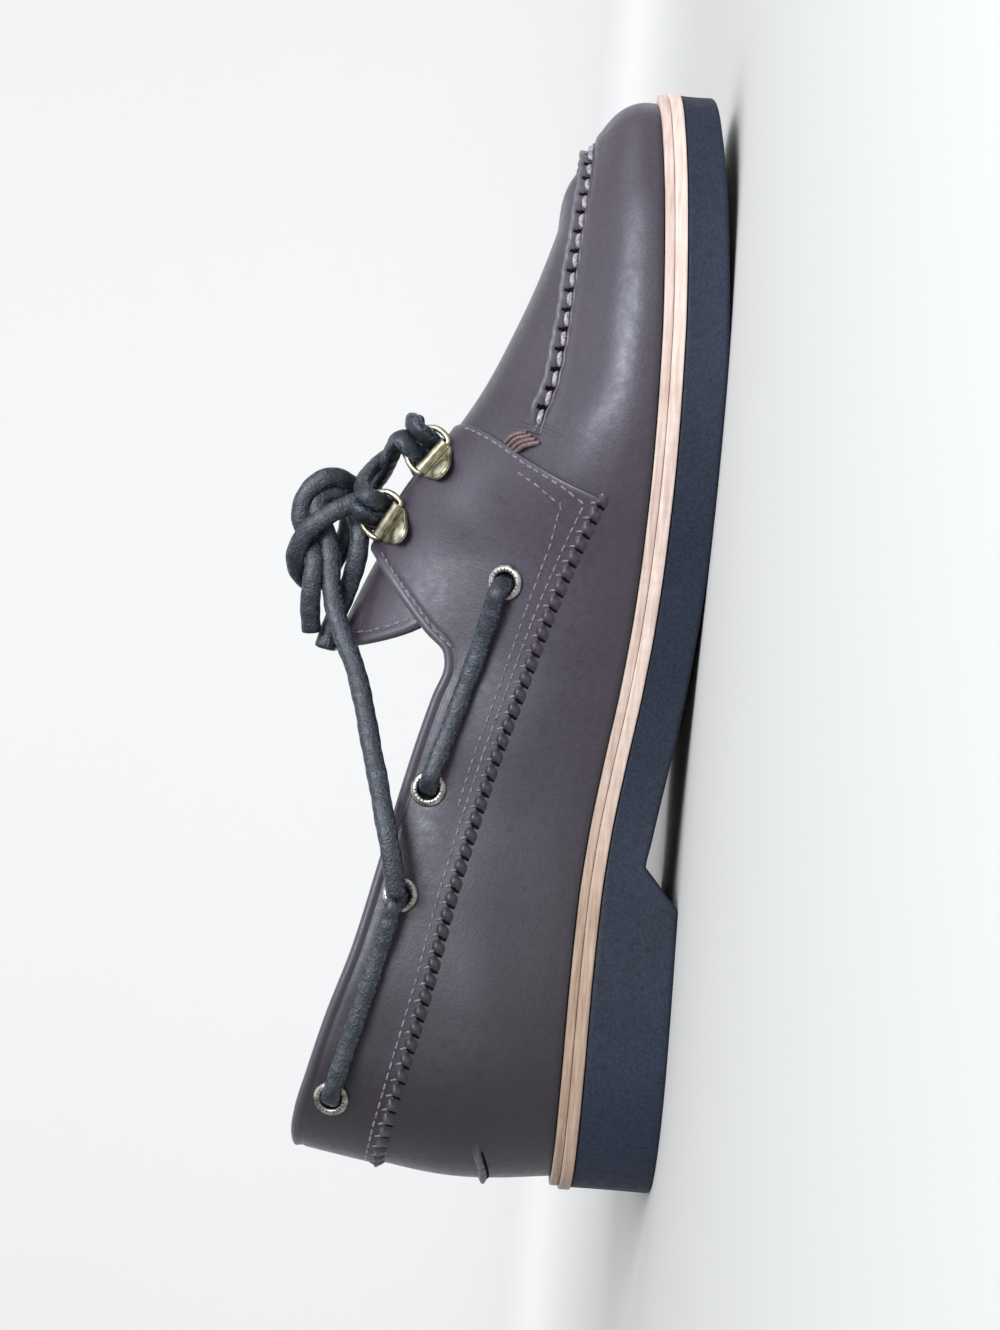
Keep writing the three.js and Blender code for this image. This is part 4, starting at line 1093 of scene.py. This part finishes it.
def heel_seam():
    """The short lip at the back of the heel, where the quarter's lower edge is turned out and closed."""
    u = heel_columns(np.append(np.linspace(HEEL_LIP_LONG, 0.3, 40), 0.0))
    rise = HEEL_LIP_HIGH + 3.0 * smoothstep(rim(u)[0][:, 0], 2, HEEL_LIP_LONG)
    line = surface_line(u, level_where(u, lambda p: p[..., 2] > rise), step=0.35)
    t, w = line.t[:, None], HEEL_SECTION[None]
    full = fade(t, 9)
    lip = 1.7 * hump(w, 0.5, 1.0, 3) * (1 + 0.15 * np.cos(t * 1.9))
    gap = hump(w, -0.9, 0.45)
    # painted shade in the gap beside the lip and on its far side; the lip's top is painted lighter, a
    # painted highlight
    dark = np.clip(gap + 0.3 * hump(w, 1.9, 0.4), 0, 1) * full
    wear_and_highlight = 0.8 * full * hump(w, 0.3, 0.6)
    strip("heel_seam", line, HEEL_SECTION, full * (lip + 0.35 * gap) - 0.25, dark, wear_and_highlight)


heel_seam()
moc = moc_seam()
zig = zigzag_seam()
stitches("moccasin_stitches", [moc], MOC_STITCH, 0.4)
OUTER_LINE = ([(204.0, 66.5), (202.3, 62.5), (199.3, 56.8), (194.2, 49.0), (188.8, 39.2), (184.8, 33.4)]
              + [(x + 0.4, z + 3.4) for x, z in ZIGZAG[::-1][1:-1]])
INNER_LINE = [(192.5, 51.6), (189.2, 46), (184.1, 39.2), (173.8, 41), (155.2, 46.4), (136.5, 51.3),
              (117.1, 56.8), (102.9, 60)]
LACING_LINE = [(144.4, 63.6), (146.8, 67.0), (150.6, 70.9), (157.4, 76.9), (164.2, 82.2), (169.6, 86.0)]
fine = []
for side in SIDES:
    fine += [side_line(side, rows, corners=True) for rows in (OUTER_LINE, INNER_LINE)]
    fine.append(side_line(side, LACING_LINE))
stitches("fine_stitches", fine, FINE_STITCH, SADDLE_HIGH + 0.08)


def end_threads():
    """Where the moccasin seam runs under the quarter panel: four strands over the panel's edge."""
    parts = []
    for side in SIDES:
        for k in range(4):
            x = 199.4 + 0.9 * k
            rows = [(x + 0.6, 46.2 + 1.2 * k), (x - 0.6, 49.2 + 1.1 * k), (x - 1.9, 52.2 + 0.9 * k)]
            line = side_line(side, rows, 0.4)
            arch = 0.2 + 1.35 * np.sin(np.linspace(0, np.pi, len(line.t)))
            parts.append(sweep(lifted(line.points, line.normals, arch), oval(1.5, 1.2, 10, 2)))
    make_mesh("end_threads", *joined(parts), [END_THREAD], "upper")


end_threads()
slanting = zig._replace(points=zig.points + zig.across * 1.5)
stitches("zigzag_thread", [slanting], ZIG_STITCH, SADDLE_HIGH + 0.12)

# ---------------------------------------------------------------- tongue
TONGUE_BACK, TONGUE_FRONT, CORNER = 143.5, 213.0, 9.0
TONGUE_IN, TONGUE_THICK = 2.9, 2.0  # its top under the upper's surface, and its thickness
HEM = 3.6  # from its edge to its stitches


def tongue_half(x):
    """The tongue's half width, with rounded corners at its free end."""
    wide = np.interp(x, [TONGUE_BACK + CORNER, TONGUE_FRONT], [23.0, 19.0])
    into = np.clip(CORNER - (x - TONGUE_BACK), 0, CORNER)
    return wide - CORNER + np.sqrt(np.clip(CORNER**2 - into**2, 0, None))


def tongue_grid(xs, columns=72):
    """Points and normals across the tongue at each place along it."""
    rows, normals = [], []
    for x in xs:
        w = np.linspace(0, tongue_half(x), columns // 2)
        line, line_n = [], []
        for side, order in (("medial", slice(None, None, -1)), ("lateral", slice(1, None))):
            v = np.linspace(2, 0.9, 140)
            u = np.full_like(v, share_at(side, x))
            p, n = surface(u, v), normal_at(u, v)
            off = np.abs(p[:, 1] - THROAT_Y)
            line.append(interpolated(w, off, p)[order])
            line_n.append(unit(interpolated(w, off, n))[order])
        rows.append(np.concatenate(line))
        normals.append(np.concatenate(line_n))
    return np.array(rows), np.array(normals)


def tongue():
    """The tongue under the throat, with a row of stitches inside its edge."""
    xs = TONGUE_BACK + np.concatenate([[0.02, 0.2, 0.5, 0.9, 1.4, 2, 2.8],
                                       np.linspace(3.6, TONGUE_FRONT - TONGUE_BACK, 78)])
    p, n = tongue_grid(xs)
    d = distance_to(p, np.concatenate([p[::-1, 0], p[0, 1:-1], p[:, -1]]))
    half = TONGUE_THICK / 2 * rolled(d, 1.0)
    ripple = 0.35 * np.sin(p[..., 0] * 0.16 + p[..., 1] * 0.1) + 0.25 * np.sin(p[..., 1] * 0.23 + 1)
    middle = ripple * 0.5 - TONGUE_IN - TONGUE_THICK / 2
    top = lifted(p, n, middle + half - 0.25 * hump(d, HEM, 0.6) + 0.3 * hump(d, 1.9, 1.2))
    low = lifted(p, n, middle - half)
    # painted shade in the trough along the hem; the rolled edge is painted lighter, a painted highlight
    # with some wear
    dark, wear_and_highlight = 0.25 * hump(d, HEM, 0.5), 0.22 * hump(d, 1.2, 0.9)
    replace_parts(leather_sheet("tongue_leather", top, low, dark, wear_and_highlight, heel_shade_and_tone=0), "tongue")
    tongue_stitches(top, n, d)


def tongue_stitches(top, n, d):
    """Stitches along the hem inside the tongue's edge."""
    rows, columns = d.shape
    nearest = lambda distances: int(np.argmin(np.abs(distances - HEM)))
    medial = [(i, nearest(d[i, :columns // 2])) for i in range(rows - 1, 8, -1)]
    across = [(nearest(d[:20, j]), j) for j in range(medial[-1][1], columns - medial[-1][1])]
    lateral = [(i, columns - 1 - j) for i, j in medial[::-1]]
    i, j = np.array(medial + across + lateral).T
    s = along(top[i, j])
    t = np.linspace(0, s[-1], int(s[-1] / 0.4))
    path = smoothed(interpolated(t, s, top[i, j]), np.ones(9) / 9)
    normals = unit(interpolated(t, s, n[i, j]))
    tangent = unit(np.gradient(path, axis=0))
    line = Line(t, path, normals, tangent, np.cross(normals, tangent))
    stitches("tongue_stitches", [line], FINE_STITCH, 0.12)


tongue()


# ---------------------------------------------------------------- sole
def under_at(x):
    """The height of the walking face over the floor."""
    waist = np.where(x < WAIST_UNDER[1, 0], np.interp(x, *WAIST_UNDER[:2].T), waist_under(x))
    return np.where(x > TOE_UNDER[0, 0], toe_under(x), np.where(x < WAIST_UNDER[0, 0], 0, waist))


def ring_at(u, inset, height):
    """The outline moved in by an inset, at heights that are a function of the place along the shoe."""
    at, inwards = rim(u)
    p = at + inwards * inset
    p[:, 2] = height(at[:, 0])
    return p


def lid_at(u, inset, height, steps):
    """Rings from an inset towards the line along the middle."""
    edge = ring_at(u, inset, height)
    middle = ridge_at(rim(u)[0][:, 0])
    rings = [edge + (middle - edge) * (k / steps) for k in range(1, steps + 1)]
    for p in rings:
        p[:, 2] = height(p[:, 0])
    return rings


def stack(name, rings, materials, slot, index=None, closed=False):
    """A piece from rings of points; index gives each row of faces its material, closed joins the ends."""
    rows = np.array(rings)
    faces = grid_faces(len(rows), rows.shape[1], closed, True)
    each = None if index is None else np.repeat(index, rows.shape[1])
    return make_mesh(name, rows.reshape(-1, 3), faces, materials, slot, each)


def midsole_top(x):
    return welt_top(x) - WELT_THICK - GAP


def midsole_base(x):
    return midsole_top(x) - MIDSOLE_THICK


def outsole_top(x):
    return midsole_base(x) - GAP


def between(low, high, share):
    """The height at a share of the way from one height function to another."""
    return lambda x: low(x) * (1 - share) + high(x) * share


def raised(height, by):
    return lambda x: height(x) + by


def outsole():
    """The rubber unit: a plain wall with slightly hollow sides, and the walking face under it."""
    u = even_columns(ALONG_SIDE)
    rings = lid_at(u, 0.5, outsole_top, 1)
    for inset, down in ((0.5, 0), (0.12, 0.08), (0, 0.3)):
        rings.append(ring_at(u, inset, raised(outsole_top, -down)))
    for share in np.linspace(0.06, 0.94, 12):
        level = between(raised(outsole_top, -0.3), raised(under_at, 0.9), share)
        rings.append(ring_at(u, 0.1 * math.sin(math.pi * share), level))
    for inset, up in ((0, 0.9), (0.08, 0.55), (0.3, 0.22), (0.7, 0.05), (1.2, 0.0)):
        rings.append(ring_at(u, inset, raised(under_at, up)))
    sides = len(rings) - 1
    rings += lid_at(u, 1.2, under_at, 10)
    index = np.repeat([0, 1], [sides, len(rings) - 1 - sides])
    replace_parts(merged(stack("outsole_rubber", rings, [RUBBER, TREAD], "outsole", index)), "outsole")


def edge_rows(tint):
    """How deep each row of a tan layer is, its share of the height, and how dark it is painted: painted
    shade under each layer's edge and in the groove between layers, with the tint darkening the whole cut
    face.
    """
    return [(6.5, 0, 0.5), (1.2, 0, 0.4), (0.16, 0.02, 0.3), (0.03, 0.07, tint + 0.06), (0, 0.2, tint),
            (0, 0.8, tint), (0.03, 0.93, tint + 0.03), (0.16, 0.98, 0.12), (1.2, 1, 0), (6.5, 1, 0)]


def tan_layer(name, node, inset, base, top, tint):
    """One tan layer of the sole's edge, with softened corners and a fuzzy cut face."""
    u = even_columns(ALONG_SIDE)
    at, inwards = rim(u)
    s = np.mod(u, 1) * ring_length
    fuzz = 0.06 * np.sin(s * 1.7) + 0.05 * np.sin(s * 4.1 + 2) + 0.04 * np.sin(s * 0.43 + 1)
    rings = []
    for deep, share, _ in edge_rows(tint):
        rings.append(ring_at(u, inset + deep, between(base, top, share)))
        if deep < 1:
            rings[-1][:, :2] += (inwards * fuzz[:, None])[:, :2]
    piece = stack(name, rings, [BOARD], node, closed=True)
    paint(piece, "heel", np.tile(1 - smoothstep(at[:, 0], 60, 150), len(rings)))
    # dark carries painted shade under the layer's edges, plus the tint over its face
    paint(piece, "dark", np.repeat([dark for _, _, dark in edge_rows(tint)], len(u)))
    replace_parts(merged(piece), node)


def insole():
    """The footbed inside the upper, with a softened edge."""
    u = even_columns(150)
    inset = LEDGE + WALL + 0.8
    top, base = raised(welt_top, 3.2), raised(midsole_top, GAP)
    rings = lid_at(u, inset, base, 1) + [ring_at(u, inset, base)]
    for deep, down in ((0, 1.0), (0.3, 0.4), (1.0, 0.0)):
        rings.append(ring_at(u, inset + deep, raised(top, -down)))
    rings += lid_at(u, inset + 1, top, 8)
    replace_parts(merged(stack("insole_footbed", rings, [FOOTBED], "insole")), "insole")


outsole()
tan_layer("midsole_board", "midsole", -0.6, raised(midsole_base, -0.12), midsole_top, 0.0)
tan_layer("welt_board", "welt", 0.3, raised(midsole_top, 0.06), welt_top, 0.16)
insole()


# ---------------------------------------------------------------- hardware
TICKS, TICK_GROUP = 22, 6  # plain marks round an eyelet's rim, with every sixth left out
TICK_IN = 1.35  # from the flange's edge
SHARP_DEGREES = 38  # corners of the hooks from here up stay crisp
ON_LEATHER = Matrix.Translation((0, 0, 0.5))  # the hardware sits on the quarter panel's thickness


def two_metals(name, parts, marks, matrix, metal, slot):
    """A piece from solid parts and patina marks on them."""
    faces = sum(len(f) for _, f in parts)
    points, all_faces = moved(joined(parts + marks), matrix)
    index = np.arange(len(all_faces)) >= faces
    return make_mesh(name, points, all_faces, [metal, PATINA], slot, index)


def eyelet_profile():
    """Radii and heights of an eyelet's barrel and rolled flange."""
    hole, flange, barrel, stand = (EYELET[key] for key in ("hole", "flange", "barrel", "stand"))
    top = stand + EYELET["proud"]
    return [(hole, -1.2), (hole, top - 0.6), (hole + 0.15, top - 0.2), (hole + 0.5, top),
            (flange - 1.1, top), (flange - 0.45, top - 0.22), (flange - 0.08, top - 0.7),
            (flange, top - 1.05), (flange - 0.15, stand - 0.1), (barrel, stand - 0.1), (barrel, -1.2)]


def eyelet(side, i):
    """A ring with a rolled flange and plain ticks round it."""
    top = EYELET["stand"] + EYELET["proud"]
    out = Matrix.Translation((EYELET["flange"] - TICK_IN, 0, top))
    tick = moved(capsule(1.0, 0.28, 0.3, 5, 6), out)
    ticks = [moved(tick, Matrix.Rotation(2 * math.pi * k / TICKS, 4, "Z"))
             for k in range(TICKS) if k % TICK_GROUP != TICK_GROUP - 1]
    place = eyelet_frames[side, i] @ ON_LEATHER
    name = f"eyelet_ring_{side}_{i + 1}"
    piece = two_metals(name, [lathe(eyelet_profile(), 48)], ticks, place, SILVER, "eyelets")
    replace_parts(piece, f"eyelet_{side}_{i + 1}")


def plate_outline():
    """Half widths as shares of the plate's half, and places as shares of its length, on both sides."""
    half, long = HOOK["width"] / 2, HOOK["long"]
    right = [(1, 0), (1, 0.28), (0.96, 0.36), (0.8, 0.5), (0.7, 0.66), (0.55, 0.84), (0.3, 0.96), (0, 1)]
    outline = catmull([(half * a, -long * b) for a, b in right], per=5)
    return np.concatenate([outline, (outline * [-1, 1])[-2::-1]])


def hook_parts():
    """The folded plate, the barrel round the ring and the shallow domed rivet, lying flat."""
    half, long, thick = HOOK["width"] / 2, HOOK["long"], HOOK["thick"]
    r, bore, stand, wide = HOOK["barrel"], HOOK["bore"], HOOK["stand"], HOOK["dome_wide"]
    outline, centre = plate_outline(), np.array([0, -long * 0.42])
    rings = [np.column_stack([centre + (outline - centre) * (1 - shrink), np.full(len(outline), z + stand)])
             for shrink, z in ((0.03, 0.0), (0, 0.12), (0, thick - 0.3), (0.02, thick - 0.1), (0.06, thick),
                               (0.1, thick + 0.01), (0.5, thick + 0.02), (0.98, thick + 0.02))]
    plate = np.concatenate(rings), tube_faces(len(rings), len(outline))
    tube = [(bore, -half), (r - 0.2, -half), (r, -half + 0.25), (r, half - 0.25), (r - 0.2, half),
            (bore, half)]
    lying = Matrix.Translation((0, 0, stand + r)) @ Matrix.Rotation(math.pi / 2, 4, "Y")
    cap = [(wide * k, HOOK["dome"] * (1 - k**2.4)) for k in np.linspace(1, 0, 9)]
    on_plate = Matrix.Translation((0, -long * 0.6, stand + thick))
    dome = moved(lathe(cap + [(0.01, -0.2), (wide, -0.2)], 36), on_plate)
    return [plate, moved(lathe(tube, 36), lying), dome]


def hook_plate(side, i):
    """A plate folded round its ring, with a line scored beside the barrel."""
    half, high = HOOK["width"] / 2 - 0.3, HOOK["stand"] + HOOK["thick"] + 0.02
    beside = -HOOK["barrel"] - 0.55
    line = np.column_stack([np.linspace(-half, half, 12), np.full(12, beside), np.full(12, high)])
    x, z, roll = HOOKS[i]
    piece = two_metals(f"hook_{side}_{i + 1}", hook_parts(), [sweep(line, oval(0.34, 0.16, 6, 2))],
                       frame_at(side, x, z, roll) @ ON_LEATHER, BRASS, "hooks")
    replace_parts(merged(piece, FINEST_WELD), f"hook_plate_{side}_{i + 1}")
    piece.data.set_sharp_from_angle(angle=math.radians(SHARP_DEGREES))


def d_ring(side, i):
    """The wire ring in a hook plate, with its bow up over the leather's edge."""
    half, reach, wire = HOOK["ring"] / 2, HOOK["reach"], 2 * HOOK["wire"]
    right = [(0.5, reach * 0.96), (0.93, reach * 0.62), (1, 1.6), (0.9, 0.1), (0.4, 0)]
    bow = [(-a, y) for a, y in right[2::-1]] + [(0, reach)] + right + [(-0.4, 0), (-0.9, 0.1)]
    path = catmull([(half * a, y, 0) for a, y in bow], closed=True, per=10)
    points, faces = moved(sweep(path, oval(wire, wire, 14, 2), closed=True), ring_matrix(side, i))
    piece = make_mesh(f"ring_{side}_{i + 1}", points, faces, [BRASS], "hooks")
    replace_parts(piece, f"d_ring_{side}_{i + 1}")


for side in SIDES:
    for i in range(len(EYELETS)):
        eyelet(side, i)
    for i in range(len(HOOKS)):
        hook_plate(side, i)
        d_ring(side, i)


# ---------------------------------------------------------------- stage and light
FLOOR_NEAR, FLOOR_WIDE, WALL_AT, WALL_HIGH, BEND = -9.0, 9.0, 2.2, 5.5, 0.5  # metres


def backdrop():
    """A pale floor that curves up into a wall behind the shoe, in metres."""
    turn = np.linspace(0.1, 1.57, 14)
    profile = [(FLOOR_NEAR, 0), (-4, 0)] + [(y, 0) for y in np.linspace(-2.7, WALL_AT - BEND, 45)]
    profile += [(WALL_AT - BEND + BEND * math.sin(a), BEND - BEND * math.cos(a)) for a in turn]
    profile.append((WALL_AT, WALL_HIGH))
    right = [0.3, 0.6, 1, 1.4, 1.9, 2.6, 4, FLOOR_WIDE]
    xs = [-x for x in right[::-1]] + [0] + right
    points = np.array([(x, y, z) for y, z in profile for x in xs])
    mesh = bpy.data.meshes.new("backdrop")
    mesh.from_pydata(points.tolist(), [], grid_faces(len(profile), len(xs)).tolist())
    mesh.polygons.foreach_set("use_smooth", [True] * len(mesh.polygons))
    mesh.materials.append(paper_material())
    floor = bpy.data.objects.new("backdrop", mesh)
    bpy.context.scene.collection.objects.link(floor)
    far = smoothstep(np.hypot(points[:, 0], points[:, 1]), 0.8, 2.2)
    paint(floor, "wall", np.maximum(smoothstep(points[:, 1], 0.02, 0.9), far))


WORLD_COLOUR, WORLD_STRENGTH, LAMP_COLOUR = (0.96, 0.975, 1.0, 1), 0.56, (0.93, 0.97, 1.0)
LIGHTS = [  # name, place, aimed at, size, watts
    ("key", (0.42, -1.05, 0.7), (0.09, 0, 0.04), 0.62, 21),
    ("toe", (1.2, -0.3, 0.75), (0.08, 0, 0.05), 0.7, 3.2),
    ("wall", (0, 0.4, 2.4), (0, 2.0, 0.6), 2.5, 21)]


def lights():
    for name, place, target, size, watts in LIGHTS:
        lamp = bpy.data.lights.new(name, "AREA")
        lamp.size, lamp.energy = size, watts
        lamp.color = LAMP_COLOUR
        light = bpy.data.objects.new(name, lamp)
        light.location = place
        light.rotation_euler = (Vector(target) - Vector(place)).to_track_quat("-Z", "Y").to_euler()
        bpy.context.scene.collection.objects.link(light)
    world = bpy.data.worlds.new("studio")
    bpy.context.scene.world = world
    world.use_nodes = True
    background = world.node_tree.nodes["Background"]
    background.inputs["Color"].default_value = WORLD_COLOUR
    background.inputs["Strength"].default_value = WORLD_STRENGTH
    bpy.context.scene.view_settings.view_transform = "Standard"


backdrop()
lights()
